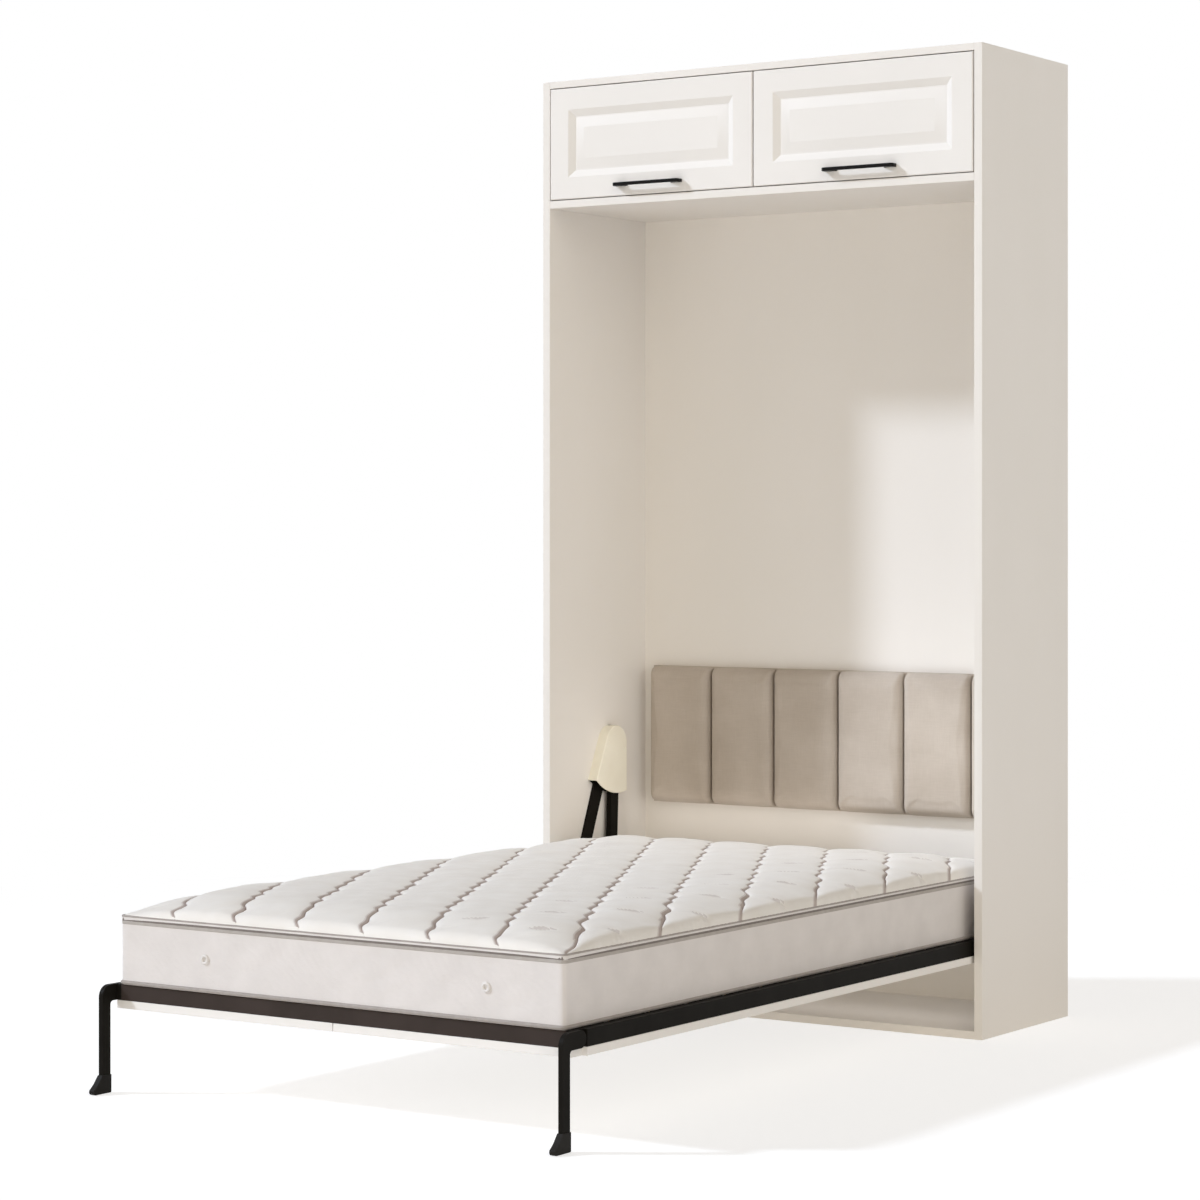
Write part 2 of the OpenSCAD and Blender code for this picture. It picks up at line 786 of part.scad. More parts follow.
module door_handle(side) {
  mid_x = (door_x0 + door_x1) / 2;
  color([0.08, 0.08, 0.08]) on_side(side)
    translate([mid_x, door_y0, door_z0 + handle_up - handle_h / 2])
      linear_extrude(handle_h) handle_profile();
}

module left_door_handle() { door_handle(-1); }

module right_door_handle() { door_handle(1); }

// Hinge cups in the back of a door, each with its flange and a slot for the arm
module door_cups(side) {
  flange = [cup_d / 2 + 10, 8];
  slot = [cup_slot_w / 2, cup_d / 2 - 5.5];
  color("silver") on_side(side)
    for (x = cup_xs())
      difference() {
        union() {
          along_y(x, door_y1 - cup_depth, door_y1, cup_z, cup_d / 2);
          box([x - flange[0], door_y1, cup_z - flange[1]], [x + flange[0], cup_back_y, cup_z + flange[1]]);
        }
        box([x - slot[0], door_y1 - cup_depth + 1.5, cup_z - slot[1]],
          [x + slot[0], cup_back_y + 1, cup_z + slot[1]]);
      }
}

module left_door_cups() { door_cups(-1); }

module right_door_cups() { door_cups(1); }

// Hinge arms under the top panel, each with its nose in the cup and its base plate
module flap_hinge_arms() {
  nose = [cup_slot_w / 2 - 1.5, arm_h / 2 - 2];
  base_y = arm_y0 + 24;
  end_y = base_y + hinge_base_l;
  color("silver") for (side = [-1, 1])
    on_side(side)
      for (x = cup_xs()) {
        box([x - nose[0], door_y1 - nose_reach, cup_z - nose[1]], [x + nose[0], arm_y0, cup_z + nose[1]]);
        box([x - arm_w / 2, arm_y0, cup_z - arm_h / 2], [x + arm_w / 2, end_y, cup_z + arm_h / 2]);
        box([x - arm_w, base_y, cup_z + arm_h / 2], [x + arm_w, end_y, locker_z1]);
      }
}

// Side rail: a tube whose front end steps in to leave room for the leg
module side_rail(side) {
  block_y = notch_y + 8;
  color([0.15, 0.13, 0.12]) on_side(side) difference() {
    box([rail_x, frame_foot_y, frame_z0], [frame_x, frame_head_y, frame_z1]);
    box([rail_x + tube_wall, block_y, frame_z0 + tube_wall],
      [frame_x - tube_wall, frame_head_y - tube_wall, frame_z1 - tube_wall]);
    box([tongue_x1, frame_foot_y - 1, frame_z0 - 1], [frame_x + 1, notch_y, frame_z1 + 1]);
    along_x(rail_x - 1, frame_x, leg_pivot_y, frame_zm, leg_pin_d / 2 + slide_gap / 5);
  }
}

module left_side_rail() { side_rail(-1); }

module right_side_rail() { side_rail(1); }

// A rail tube across the bed
module cross_tube(y0, y1, z0, z1) {
  difference() {
    box([-rail_x, y0, z0], [rail_x, y1, z1]);
    box([-rail_x - 1, y0 + tube_wall, z0 + tube_wall], [rail_x + 1, y1 - tube_wall, z1 - tube_wall]);
  }
}

module foot_rail() {
  color([0.15, 0.13, 0.12]) cross_tube(frame_foot_y, frame_foot_y + rail_t, frame_z0, frame_z1);
}

module head_rail() {
  color([0.15, 0.13, 0.12]) cross_tube(frame_head_y - rail_t, frame_head_y, frame_z0, frame_z1);
}

// Middles of the cross bars, spread between the end rails
function crossbar_ys() = [for (i = [1 : crossbar_count])
  frame_foot_y + frame_l * i / (crossbar_count + 1)];

// X positions of the screws that hold the face panels to a cross bar
function panel_screw_xs() = [for (f = [0.25, 0.75]) rail_x * f];

// Steel tubes that stay just under the slat holders
module cross_bars() {
  z1 = holder_z0 - slide_gap;
  color([0.15, 0.13, 0.12]) for (y = crossbar_ys())
    difference() {
      cross_tube(y - crossbar_w / 2, y + crossbar_w / 2, frame_z0, z1);
      for (side = [-1, 1])
        for (x = panel_screw_xs())
          translate([side * x, y, frame_z0 - 1])
            cylinder(h = z1 - frame_z0 + 2, r = screw_d / 2 + slide_gap);
    }
}

// Screws from inside the cross bars down into the face panels
module face_panel_screws() {
  head_z0 = frame_z0 + tube_wall;
  color("dimgray") for (y = crossbar_ys())
    for (side = [-1, 1])
      for (x = panel_screw_xs())
        translate([side * x, y, 0]) {
          translate([0, 0, frame_z0 - face_t / 2]) cylinder(h = face_t / 2 + tube_wall, r = screw_d / 2);
          translate([0, 0, head_z0]) cylinder(h = 3, r = screw_d);
        }
}

// Middles of the slats, spread between the end rails
function slat_ys() =
  let (y0 = frame_foot_y + rail_t, y1 = frame_head_y - rail_t, step = (y1 - y0) / slat_count)
  [for (i = [0 : slat_count - 1]) y0 + step * (i + 0.5)];

module slats() {
  color("burlywood") for (y = slat_ys())
    box([-slat_x, y - slat_w / 2, slat_z1 - slat_t], [slat_x, y + slat_w / 2, slat_z1]);
}

// Plastic holders that carry the slat ends on the side rails
module slat_holders() {
  w = slat_w / 2 + slide_gap;
  color([0.2, 0.2, 0.2]) for (side = [-1, 1])
    on_side(side)
      for (y = slat_ys())
        difference() {
          box([rail_x - holder_l, y - w - holder_wall, holder_z0],
            [rail_x, y + w + holder_wall, frame_z1]);
          box([rail_x - holder_l - 1, y - w, slat_z1 - slat_t - slide_gap],
            [rail_x - holder_wall, y + w, slat_z1 + slide_gap]);
        }
}

// Bearing plate that stands on the side rail and carries the bed on its pivot
module ear_plate(side) {
  p = [pivot_y, pivot_z];
  q = [foot_y, foot_z];
  color([0.15, 0.13, 0.12]) on_side(side) difference() {
    union() {
      link_plate(ear_x0, ear_t, p, ear_r, q, ear_foot_r);
      plate_at(ear_x0, ear_t)
        polygon([p + [-ear_r, 0], [p[0] - ear_r - 18, frame_z1], [q[0] + ear_foot_r + 6, frame_z1],
          q + [ear_foot_r, 0]]);
    }
    along_x(ear_x0 - 1, frame_x + 1, p[0], p[1], pivot_pin_d / 2 + bush_wall + slide_gap / 5);
    along_x(ear_x0 - 1, frame_x + 1, q[0], q[1], strut_pin_d / 2 - 1 + pin_clear);
  }
}

module left_ear_plate() { ear_plate(-1); }

module right_ear_plate() { ear_plate(1); }

// Nylon bushes between the bearing plates and the pivot pins
module pivot_bushes() {
  color("ivory") for (side = [-1, 1])
    on_side(side) difference() {
      union() {
        along_x(ear_x0, frame_x, pivot_y, pivot_z, pivot_pin_d / 2 + bush_wall);
        along_x(frame_x, frame_x + bush_flange_t, pivot_y, pivot_z, bush_flange_d / 2);
      }
      along_x(ear_x0 - 1, wall_face_x, pivot_y, pivot_z, pivot_pin_d / 2 + pin_clear);
    }
}

// Face panel under the frame with two moulded fields and a notch for the leg
module face_panel(side) {
  x0 = face_seam / 2;
  w = frame_x - x0;
  h = (frame_l - face_border) / 2 - face_border;
  color("whitesmoke") on_side(side) difference() {
    box([x0, frame_foot_y, face_z], [frame_x, frame_head_y, frame_z0]);
    for (k = [0, 1])
      translate([x0 + w / 2, frame_foot_y + face_border + h / 2 + k * (h + face_border), face_z])
        rotate([180, 0, 0]) field_cut(w - 2 * face_border, h);
    box([leg_x0 - leg_slot_gap, frame_foot_y - 1, face_z - 1], [frame_x + 1, notch_y, frame_z0 + 1]);
    for (y = crossbar_ys())
      for (x = panel_screw_xs())
        translate([x, y, frame_z0 - face_t / 2 - 0.5])
          cylinder(h = face_t, r = screw_d / 2 + slide_gap / 2);
  }
}

module left_face_panel() { face_panel(-1); }

module right_face_panel() { face_panel(1); }

// Rise of the quilted top near an edge that is d away
function shoulder(d, reach) = d >= reach ? 1 : sqrt(max(0, 1 - pow(1 - d / reach, 2)));

// Mattress: quilted crown with slanting grooves, drawn-in sides and a flat base.
// A groove passes one column further for each row, so it follows the grid exactly.
module mattress() {
  nx = 30;
  ny = 28;
  every = 4;
  reach = 90;
  half = [mattress_w / 2, mattress_l / 2];
  grid = [for (j = [0 : ny]) for (i = [0 : nx])
    let (x = half[0] * (2 * i / nx - 1), y = half[1] * (2 * j / ny - 1),
      edge = shoulder(half[0] - abs(x), reach) * shoulder(half[1] - abs(y), reach),
      phase = (i + j + 2) % every,
      groove = phase == 0 ? quilt_depth : phase == every / 2 ? 0 : quilt_depth / 3)
    [x, y, mattress_side_h + edge * (mattress_crown - groove)]];
  rim = [for (k = rim_loop(nx, ny)) grid[k]];
  rings = [for (p = [[0.55, mattress_waist], [0.08, 0], [0, 6]])
    [for (q = rim)
      let (ux = q[0] / half[0], uy = q[1] / half[1],
        corner = pow(min(abs(ux), abs(uy)), 4),
        draw = p[0] > 0.5 ? p[1] * (1 - corner) : p[1])
      [q[0] - sign(ux) * (abs(ux) > 0.999 ? draw : p[1] > 5 ? draw * abs(ux) : 0),
        q[1] - sign(uy) * (abs(uy) > 0.999 ? draw : p[1] > 5 ? draw * abs(uy) : 0),
        mattress_side_h * p[0]]]];
  color("white") translate([0, mattress_foot_y + half[1], bed_z])
    padded_form(grid, nx, ny, rings, [0, 0, 0]);
}

// Angle at the head of the frame that keeps the mattress in place when folded
module mattress_stop() {
  y0 = mattress_foot_y + mattress_l + seat_gap;
  color([0.15, 0.13, 0.12]) {
    box([-stop_w / 2, y0, frame_z1], [stop_w / 2, y0 + stop_t, frame_z1 + stop_h]);
    box([-stop_w / 2, y0 + stop_t - 0.01, frame_z1], [stop_w / 2, frame_head_y - 3, frame_z1 + stop_t]);
  }
}

// Side view of the leg: pivot eye, arm, bend and upright
module leg_profile() {
  bend = [leg_front_y + leg_bend_r, frame_z1 - leg_bend_r];
  difference() {
    union() {
      translate([leg_pivot_y, frame_zm]) circle(leg_root_r);
      translate([leg_front_y, frame_z0]) square([leg_pivot_y - leg_front_y, rail_h]);
      translate([leg_front_y, shoe_sole]) square([leg_d, frame_zm - shoe_sole]);
      translate([leg_back_y - 2, frame_z0 - leg_fillet_r])
        square([leg_fillet_r + 2, leg_fillet_r + 2]);
    }
    difference() {
      translate(bend - [leg_bend_r + 5, 0]) square(leg_bend_r + 5);
      translate(bend) circle(leg_bend_r);
    }
    translate([leg_back_y + leg_fillet_r, frame_z0 - leg_fillet_r]) circle(leg_fillet_r);
  }
}

module leg(side) {
  color([0.12, 0.11, 0.1]) on_side(side) difference() {
    plate_at(leg_x0, leg_w) leg_profile();
    along_x(leg_x0 - 1, leg_x1 + 1, leg_pivot_y, frame_zm, leg_pin_d / 2 + pin_clear);
  }
}

module left_leg() { leg(-1); }

module right_leg() { leg(1); }

// Side view of the shoe: upright heel, sloping instep and rounded toe
module shoe_profile() {
  heel = leg_back_y + shoe_wall;
  toe = heel - shoe_l;
  toe_r = 7;
  instep_y = leg_front_y - shoe_wall;
  polygon([[heel, 3], [heel, shoe_h], [instep_y, shoe_h], [instep_y - 14, shoe_h * 0.55],
    [toe + toe_r * 0.4, toe_r * 1.7], [toe + toe_r, 0], [heel - 3, 0]]);
  translate([toe + toe_r, toe_r]) circle(toe_r);
  translate([heel - 3, 3]) circle(3);
}

module leg_shoe(side) {
  mid = (leg_x0 + leg_x1) / 2;
  color([0.1, 0.1, 0.1]) on_side(side) difference() {
    plate_at(mid - shoe_w / 2, shoe_w) shoe_profile();
    box([leg_x0 - slide_gap, leg_front_y - slide_gap, shoe_sole - slide_gap],
      [leg_x1 + slide_gap, leg_back_y + slide_gap, shoe_h + 1]);
  }
}

module left_leg_shoe() { leg_shoe(-1); }

module right_leg_shoe() { leg_shoe(1); }

// Pins that carry the legs in the ends of the side rails
module leg_pins() {
  color("dimgray") for (side = [-1, 1])
    on_side(side) along_x(rail_x, leg_x1, leg_pivot_y, frame_zm, leg_pin_d / 2);
}

left_side_panel();
right_side_panel();
top_panel();
bottom_panel();
shelf_panel();
centre_partition();
back_panel();
wall_fixing_rail();
headboard_board();
headboard_pad_1();
headboard_pad_2();
headboard_pad_3();
headboard_pad_4();
headboard_pad_5();
headboard_pad_6();
left_lift_plate();
right_lift_plate();
left_lift_cover();
right_lift_cover();
lift_plate_screws();
bed_pivot_pins();
strut_head_pins();
left_strut_sleeve();
right_strut_sleeve();
left_strut_bar();
right_strut_bar();
left_door();
right_door();
left_door_handle();
right_door_handle();
left_door_cups();
right_door_cups();
flap_hinge_arms();
left_side_rail();
right_side_rail();
foot_rail();
head_rail();
cross_bars();
slats();
slat_holders();
left_ear_plate();
right_ear_plate();
pivot_bushes();
left_face_panel();
right_face_panel();
face_panel_screws();
mattress();
mattress_stop();
left_leg();
right_leg();
left_leg_shoe();
right_leg_shoe();
leg_pins();
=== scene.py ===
"""Looks of the wall bed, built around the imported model. Lengths are in millimetres unless said."""

import json
import math
import random

import bmesh
import bpy
import numpy as np
from mathutils import Matrix, Vector


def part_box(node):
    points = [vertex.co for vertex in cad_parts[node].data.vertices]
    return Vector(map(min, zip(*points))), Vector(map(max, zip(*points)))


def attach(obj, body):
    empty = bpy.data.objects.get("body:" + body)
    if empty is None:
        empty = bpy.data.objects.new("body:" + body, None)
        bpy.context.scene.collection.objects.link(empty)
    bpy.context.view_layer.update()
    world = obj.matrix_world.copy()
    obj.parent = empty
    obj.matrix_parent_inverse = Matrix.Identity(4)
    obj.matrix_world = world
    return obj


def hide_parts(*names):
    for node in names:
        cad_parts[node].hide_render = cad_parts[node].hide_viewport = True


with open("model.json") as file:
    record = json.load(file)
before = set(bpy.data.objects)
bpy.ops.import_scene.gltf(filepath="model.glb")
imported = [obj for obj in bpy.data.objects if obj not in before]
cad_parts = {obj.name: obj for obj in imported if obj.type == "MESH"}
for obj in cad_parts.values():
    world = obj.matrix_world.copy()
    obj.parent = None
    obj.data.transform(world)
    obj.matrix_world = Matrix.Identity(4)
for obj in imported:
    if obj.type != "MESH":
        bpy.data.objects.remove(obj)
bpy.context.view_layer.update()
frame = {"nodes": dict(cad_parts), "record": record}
MM = 0.001


# Sizes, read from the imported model

def span(node, axis):
    """Lowest and highest place of a node along an axis, in millimetres."""
    lo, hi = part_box(node)
    return lo[axis] / MM, hi[axis] / MM


def spans(node):
    return [span(node, axis) for axis in range(3)]


# Places of the mattress: its right side, its foot and head, and its base
SIDE_X = span("mattress", 0)[1]
FOOT_Y, HEAD_Y = span("mattress", 1)
BASE_Z = span("mattress", 2)[0]
# Height of the mattress side up to its cord, and rise of the quilted top over the cord
SIDE_H = 150.0
CROWN = 50.0


# Materials

def shade(r, g, b, a=1.0):
    """Linear colour from 0 to 255 display values."""
    def line(c):
        c /= 255
        return c / 12.92 if c <= 0.04045 else ((c + 0.055) / 1.055) ** 2.4
    return line(r), line(g), line(b), a


class Nodes:
    """The nodes of a material or a world."""

    def __init__(self, owner):
        owner.use_nodes = True
        self.tree = owner.node_tree
        self.tree.nodes.clear()

    def add(self, kind, **props):
        """Adds a node. The kind is its type without the first word."""
        node = self.tree.nodes.new("ShaderNode" + kind)
        for key, value in props.items():
            setattr(node, key, value)
        return node

    def join(self, value, socket):
        """Lets a socket follow an output, or gives it a value of its own."""
        if isinstance(value, bpy.types.NodeSocket):
            self.tree.links.new(value, socket)
        else:
            socket.default_value = value

    def made(self, kind, values, output=0, **props):
        """Adds a node, fills its sockets and returns one of its outputs."""
        node = self.add(kind, **props)
        for socket, value in values.items():
            self.join(value, node.inputs[socket])
        return node.outputs[output]

    def maths(self, kind, a, b):
        return self.made("Math", {0: a, 1: b}, operation=kind)


class Surface(Nodes):
    """A procedural material with one principled shader. Colours are display values."""

    def __init__(self, name, colour, rough, metal=0.0, sheen=0.0, specular=0.5):
        self.mat = bpy.data.materials.new(name)
        super().__init__(self.mat)
        out = self.add("OutputMaterial")
        self.shader = self.add("BsdfPrincipled")
        self.join(self.shader.outputs["BSDF"], out.inputs["Surface"])
        self.feed("Base Color", shade(*colour))
        self.feed("Roughness", rough)
        self.feed("Metallic", metal)
        self.feed("Specular IOR Level", specular)
        if sheen:
            self.feed("Sheen Weight", sheen)
            self.feed("Sheen Roughness", 0.45)
        self.place = self.add("TexCoord").outputs["Object"]
        self.mat.diffuse_color = shade(*colour)

    def feed(self, socket, value):
        self.join(value, self.shader.inputs[socket])

    def stretched(self, scale):
        """Object coordinates, scaled per axis."""
        return self.made("Mapping", {"Vector": self.place, "Scale": scale}, "Vector",
                         vector_type="POINT")

    def noise(self, scale=1.0, detail=2.0, rough=0.5, stretch=(1, 1, 1)):
        """Cloudy noise. The scale is in spots per metre."""
        values = {"Vector": self.stretched(stretch), "Scale": scale, "Detail": detail, "Roughness": rough}
        return self.made("TexNoise", values, "Fac")

    def wave(self, scale, axis="X", bend=0.0, bend_scale=1.0, stretch=(1, 1, 1)):
        """Parallel bands across an axis, bent by noise."""
        values = {"Vector": self.stretched(stretch), "Scale": scale, "Distortion": bend, "Detail": 1.0,
                  "Detail Scale": bend_scale}
        return self.made("TexWave", values, "Fac", wave_type="BANDS", bands_direction=axis)

    def weighed(self, a, share_a, b, share_b):
        """Sum of two factors, each times its share."""
        return self.maths("ADD", self.maths("MULTIPLY", a, share_a), self.maths("MULTIPLY", b, share_b))

    def ramp(self, fac, low, high):
        """Colours between two stops, each given as place and colour."""
        node = self.add("ValToRGB")
        for mark, (place, colour) in zip(node.color_ramp.elements, (low, high)):
            mark.position = place
            mark.color = shade(*colour)
        self.join(fac, node.inputs["Fac"])
        return node.outputs["Color"]

    def mixed(self, fac, under, colour):
        return self.made("Mix", {0: fac, 6: under, 7: shade(*colour)}, 2, data_type="RGBA")

    def two_tone(self, fac, dark, light):
        """Lets a factor choose the colour between two tones."""
        self.feed("Base Color", self.ramp(fac, (0.3, dark), (0.7, light)))

    def grain(self, fac, low, high, depth, strength):
        """Lets a factor choose the roughness and raise the surface."""
        values = {"Value": fac, "To Min": low, "To Max": high}
        self.feed("Roughness", self.made("MapRange", values, "Result"))
        self.bump(fac, depth, strength)

    def bump(self, height, depth, strength):
        """Raises the surface by a height map, depth in millimetres."""
        values = {"Height": height, "Distance": depth * MM, "Strength": strength}
        self.feed("Normal", self.made("Bump", values, "Normal"))


def laminate():
    s = Surface("cabinet_laminate", (236, 231, 224), 0.48)
    s.two_tone(s.noise(2.2, 3.0, stretch=(1, 1, 0.35)), (234, 229, 222), (238, 233, 227))
    s.grain(s.noise(900, 3.0, 0.6, (1, 1, 0.16)), 0.42, 0.56, 0.05, 0.35)
    return s.mat


def paint():
    s = Surface("painted_front", (238, 234, 229), 0.5, specular=0.22)
    s.two_tone(s.noise(3.0), (237, 233, 228), (240, 236, 231))
    s.grain(s.noise(330), 0.46, 0.56, 0.04, 0.25)
    return s.mat


def powder_coat():
    s = Surface("black_steel", (60, 51, 47), 0.55, specular=0.08)
    s.two_tone(s.noise(9, 3.0), (56, 48, 44), (64, 55, 51))
    s.grain(s.noise(1400, 3.0, 0.65), 0.4, 0.62, 0.06, 0.5)
    return s.mat


# A darker copy of the black powder coat, which paints shade on the legs, lift plates, sleeves, side rails
# and leg pins
def shaded_powder_coat():
    s = Surface("black_steel_painted_shade", (26, 24, 21), 0.45, specular=0.03)
    s.two_tone(s.noise(14, 3.0), (23, 21, 18), (29, 27, 24))
    s.grain(s.noise(1300, 3.0, 0.65), 0.34, 0.55, 0.05, 0.5)
    return s.mat


def handle_black():
    s = Surface("black_handle", (15, 14, 13), 0.32, specular=0.1)
    fine = s.noise(1200, stretch=(0.2, 1, 1))
    s.two_tone(fine, (12, 11, 10), (19, 18, 17))
    s.grain(fine, 0.26, 0.4, 0.03, 0.3)
    return s.mat


def zinc():
    s = Surface("zinc_steel", (178, 178, 176), 0.34, metal=1.0)
    brushed = s.noise(90, 3.0, stretch=(1, 12, 1))
    s.two_tone(brushed, (166, 166, 166), (190, 189, 184))
    s.grain(brushed, 0.25, 0.45, 0.03, 0.3)
    return s.mat


def moulded_plastic(name, dark, light, low, high, specular=0.5):
    s = Surface(name, light, high, specular=specular)
    s.two_tone(s.noise(12), dark, light)
    s.grain(s.noise(700, 3.0, 0.6), low, high, 0.05, 0.4)
    return s.mat


def slat_wood():
    s = Surface("birch_slat", (214, 186, 142), 0.5)
    rings = s.wave(1.6, "Y", 6.0, 1.4, (0.4, 9, 9))
    fibres = s.noise(1.0, 4.0, 0.6, (4, 160, 160))
    wood = s.ramp(rings, (0.2, (204, 173, 127)), (0.8, (224, 199, 158)))
    s.feed("Base Color", s.mixed(fibres, wood, (196, 164, 118)))
    s.grain(fibres, 0.42, 0.6, 0.15, 0.4)
    return s.mat


def linen():
    s = Surface("headboard_linen", (202, 190, 178), 0.92, sheen=0.12, specular=0.2)
    warp = s.wave(260, "X", 1.5, 30, (1, 0.02, 0.15))
    weft = s.wave(230, "Z", 1.8, 30, (0.15, 0.02, 1))
    slub_x = s.noise(1.0, 2.0, 0.6, (30, 30, 900))
    slub_z = s.noise(1.0, 2.0, 0.6, (900, 30, 34))
    thread = s.weighed(slub_x, 0.5, slub_z, 0.5)
    tone = s.weighed(thread, 0.5, s.noise(8, 3.0), 0.5)
    s.feed("Base Color", s.ramp(tone, (0.34, (180, 168, 155)), (0.66, (197, 186, 174))))
    weave = s.weighed(warp, 0.5, weft, 0.5)
    s.bump(s.weighed(weave, 0.6, thread, 0.5), 0.35, 0.4)
    return s.mat


def knit(name, dark, light, depth, bold):
    """White mattress cloth: fine stitch rows, soft clouds and a raised jacquard."""
    s = Surface(name, light, 0.88, sheen=0.12, specular=0.25)
    s.two_tone(s.noise(14, 3.0), dark, light)
    rows = s.wave(330, "DIAGONAL", 0.8, 20)
    ribs = s.wave(300, "DIAGONAL", 0.8, 20, (1, -1, 1))
    jacquard = s.noise(stretch=(22, 22, 60))
    stitch = s.maths("ADD", rows, ribs)
    s.bump(s.weighed(stitch, 0.25, jacquard, bold), depth, 0.5)
    return s.mat


def tape(name, dark, light):
    s = Surface(name, light, 0.85, sheen=0.1, specular=0.25)
    s.two_tone(s.noise(60, 3.0), dark, light)
    s.bump(s.wave(420, "DIAGONAL", 0.4, 10, (1, 1, 1.4)), 0.3, 0.5)
    return s.mat


LAMINATE = laminate()
PAINT = paint()
STEEL = powder_coat()
SHADED_STEEL = shaded_powder_coat()
HANDLE = handle_black()
ZINC = zinc()
CREAM = moulded_plastic("cream_plastic", (243, 237, 219), (248, 243, 226), 0.42, 0.55)
BLACK_PLASTIC = moulded_plastic("black_plastic", (26, 24, 22), (34, 32, 29), 0.45, 0.6, 0.08)
NYLON = moulded_plastic("nylon", (222, 218, 206), (230, 227, 216), 0.35, 0.5)
SLAT = slat_wood()
LINEN = linen()
TOP_KNIT = knit("mattress_top_knit", (239, 234, 227), (244, 240, 234), 0.5, 0.5)
SIDE_KNIT = knit("mattress_side_knit", (222, 216, 212), (229, 223, 219), 0.9, 2.6)
# Painted shade for the grooves of the quilted top, and a paler painted shade beside them and in tuft folds
GROOVE_SHADE = knit("mattress_groove_shade", (182, 168, 162), (194, 181, 175), 0.5, 0.5)
GROOVE_SHADE_EDGE = knit("mattress_groove_shade_edge", (214, 206, 200), (224, 217, 211), 0.5, 0.5)
PIPING = tape("mattress_piping", (166, 158, 152), (177, 169, 164))
TAPE = tape("mattress_tape", (176, 168, 161), (184, 177, 171))
# A dark strip of painted shadow under the top cord
CORD_SHADOW = tape("mattress_cord_shadow", (122, 114, 108), (132, 124, 118))
VENT = moulded_plastic("vent_plastic", (218, 213, 208), (226, 221, 217), 0.4, 0.5)


# Making pieces

SIDES = ((-1, "left"), (1, "right"))


def finish_piece(obj, body, materials, nodes=()):
    """Materials, body and the CAD nodes that a piece stands for."""
    for mat in materials:
        obj.data.materials.append(mat)
    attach(obj, body)
    if nodes:
        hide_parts(*nodes)
    return obj


def new_object(name, data):
    obj = bpy.data.objects.new(name, data)
    bpy.context.scene.collection.objects.link(obj)
    return obj


def from_bmesh(name, bm):
    bmesh.ops.recalc_face_normals(bm, faces=bm.faces[:])
    mesh = bpy.data.meshes.new(name)
    bm.to_mesh(mesh)
    bm.free()
    return new_object(name, mesh)


def from_points(name, points, faces):
    """An object from points in millimetres."""
    bm = bmesh.new()
    verts = [bm.verts.new([c * MM for c in p]) for p in points]
    for f in faces:
        bm.faces.new([verts[i] for i in f])
    return from_bmesh(name, bm)


def evaluated_mesh(obj):
    """A mesh with the object's modifiers applied."""
    bpy.context.view_layer.update()
    return bpy.data.meshes.new_from_object(obj.evaluated_get(bpy.context.evaluated_depsgraph_get()))


def smooth_by_angle(obj, degrees):
    """Smooth shading with sharp edges over an angle. Flat faces keep their own normals."""
    obj.data.shade_smooth()
    obj.data.set_sharp_from_angle(angle=math.radians(degrees))
    obj.modifiers.new("normals", "WEIGHTED_NORMAL").keep_sharp = True


def body_of(node):
    for body, nodes in frame["record"]["behaviour"]["bodies"].items():
        if node in nodes:
            return body
    raise ValueError(node)


def coat_node(node, material):
    """Gives a CAD node that is shown as it is a material."""
    finish = frame["nodes"][node].data.materials
    finish.clear()
    finish.append(material)


def ease(bm, edges, width, segments):
    """Rounds edges, by a width in millimetres."""
    bmesh.ops.bevel(bm, geom=edges, offset=width * MM, segments=segments, profile=0.5,
                    affect="EDGES", clamp_overlap=True)


# Edges of a CAD node that meet at less than this many degrees are left alone
LEAST_CORNER = 40


def soften(node, material, width, segments=2, pick=None, longer=2.5):
    """A copy of a CAD node with eased edges, which stands for the node.
    pick chooses edges by their two ends, in millimetres. Edges shorter than longer stay sharp."""
    bm = bmesh.new()
    bm.from_mesh(frame["nodes"][node].data)
    bmesh.ops.remove_doubles(bm, verts=bm.verts[:], dist=4e-6)
    bmesh.ops.dissolve_limit(bm, angle_limit=math.radians(0.6), verts=bm.verts[:], edges=bm.edges[:])
    chosen = []
    for e in bm.edges:
        if len(e.link_faces) != 2 or e.calc_face_angle(0) < math.radians(LEAST_CORNER):
            continue
        if e.calc_length() < longer * MM:
            continue
        a, b = (v.co / MM for v in e.verts)
        if pick is None or pick(a, b):
            chosen.append(e)
    ease(bm, chosen, width, segments)
    obj = from_bmesh(node + "_eased", bm)
    smooth_by_angle(obj, 35)
    return finish_piece(obj, body_of(node), [material], [node])


def cuboid(lo, hi):
    """A box between two corners, in metres."""
    bm = bmesh.new()
    bmesh.ops.create_cube(bm, size=1.0)
    for v in bm.verts:
        v.co = Vector((lo[k] + (hi[k] - lo[k]) * (v.co[k] + 0.5) for k in range(3)))
    return bm


def eased_board(node, material, width=1.0):
    """A plain board with eased edges in the place of a CAD node."""
    bm = cuboid(*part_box(node))
    ease(bm, bm.edges[:], width, 2)
    obj = from_bmesh(node + "_board", bm)
    smooth_by_angle(obj, 50)
    return finish_piece(obj, body_of(node), [material], [node])


def cut(obj, cutter):
    """Cuts one solid out of another and removes the cutter."""
    mod = obj.modifiers.new("cut", "BOOLEAN")
    mod.operation = "DIFFERENCE"
    mod.solver = "EXACT"
    mod.object = cutter
    mesh = evaluated_mesh(obj)
    obj.modifiers.remove(mod)
    obj.data = mesh
    bpy.data.objects.remove(cutter)


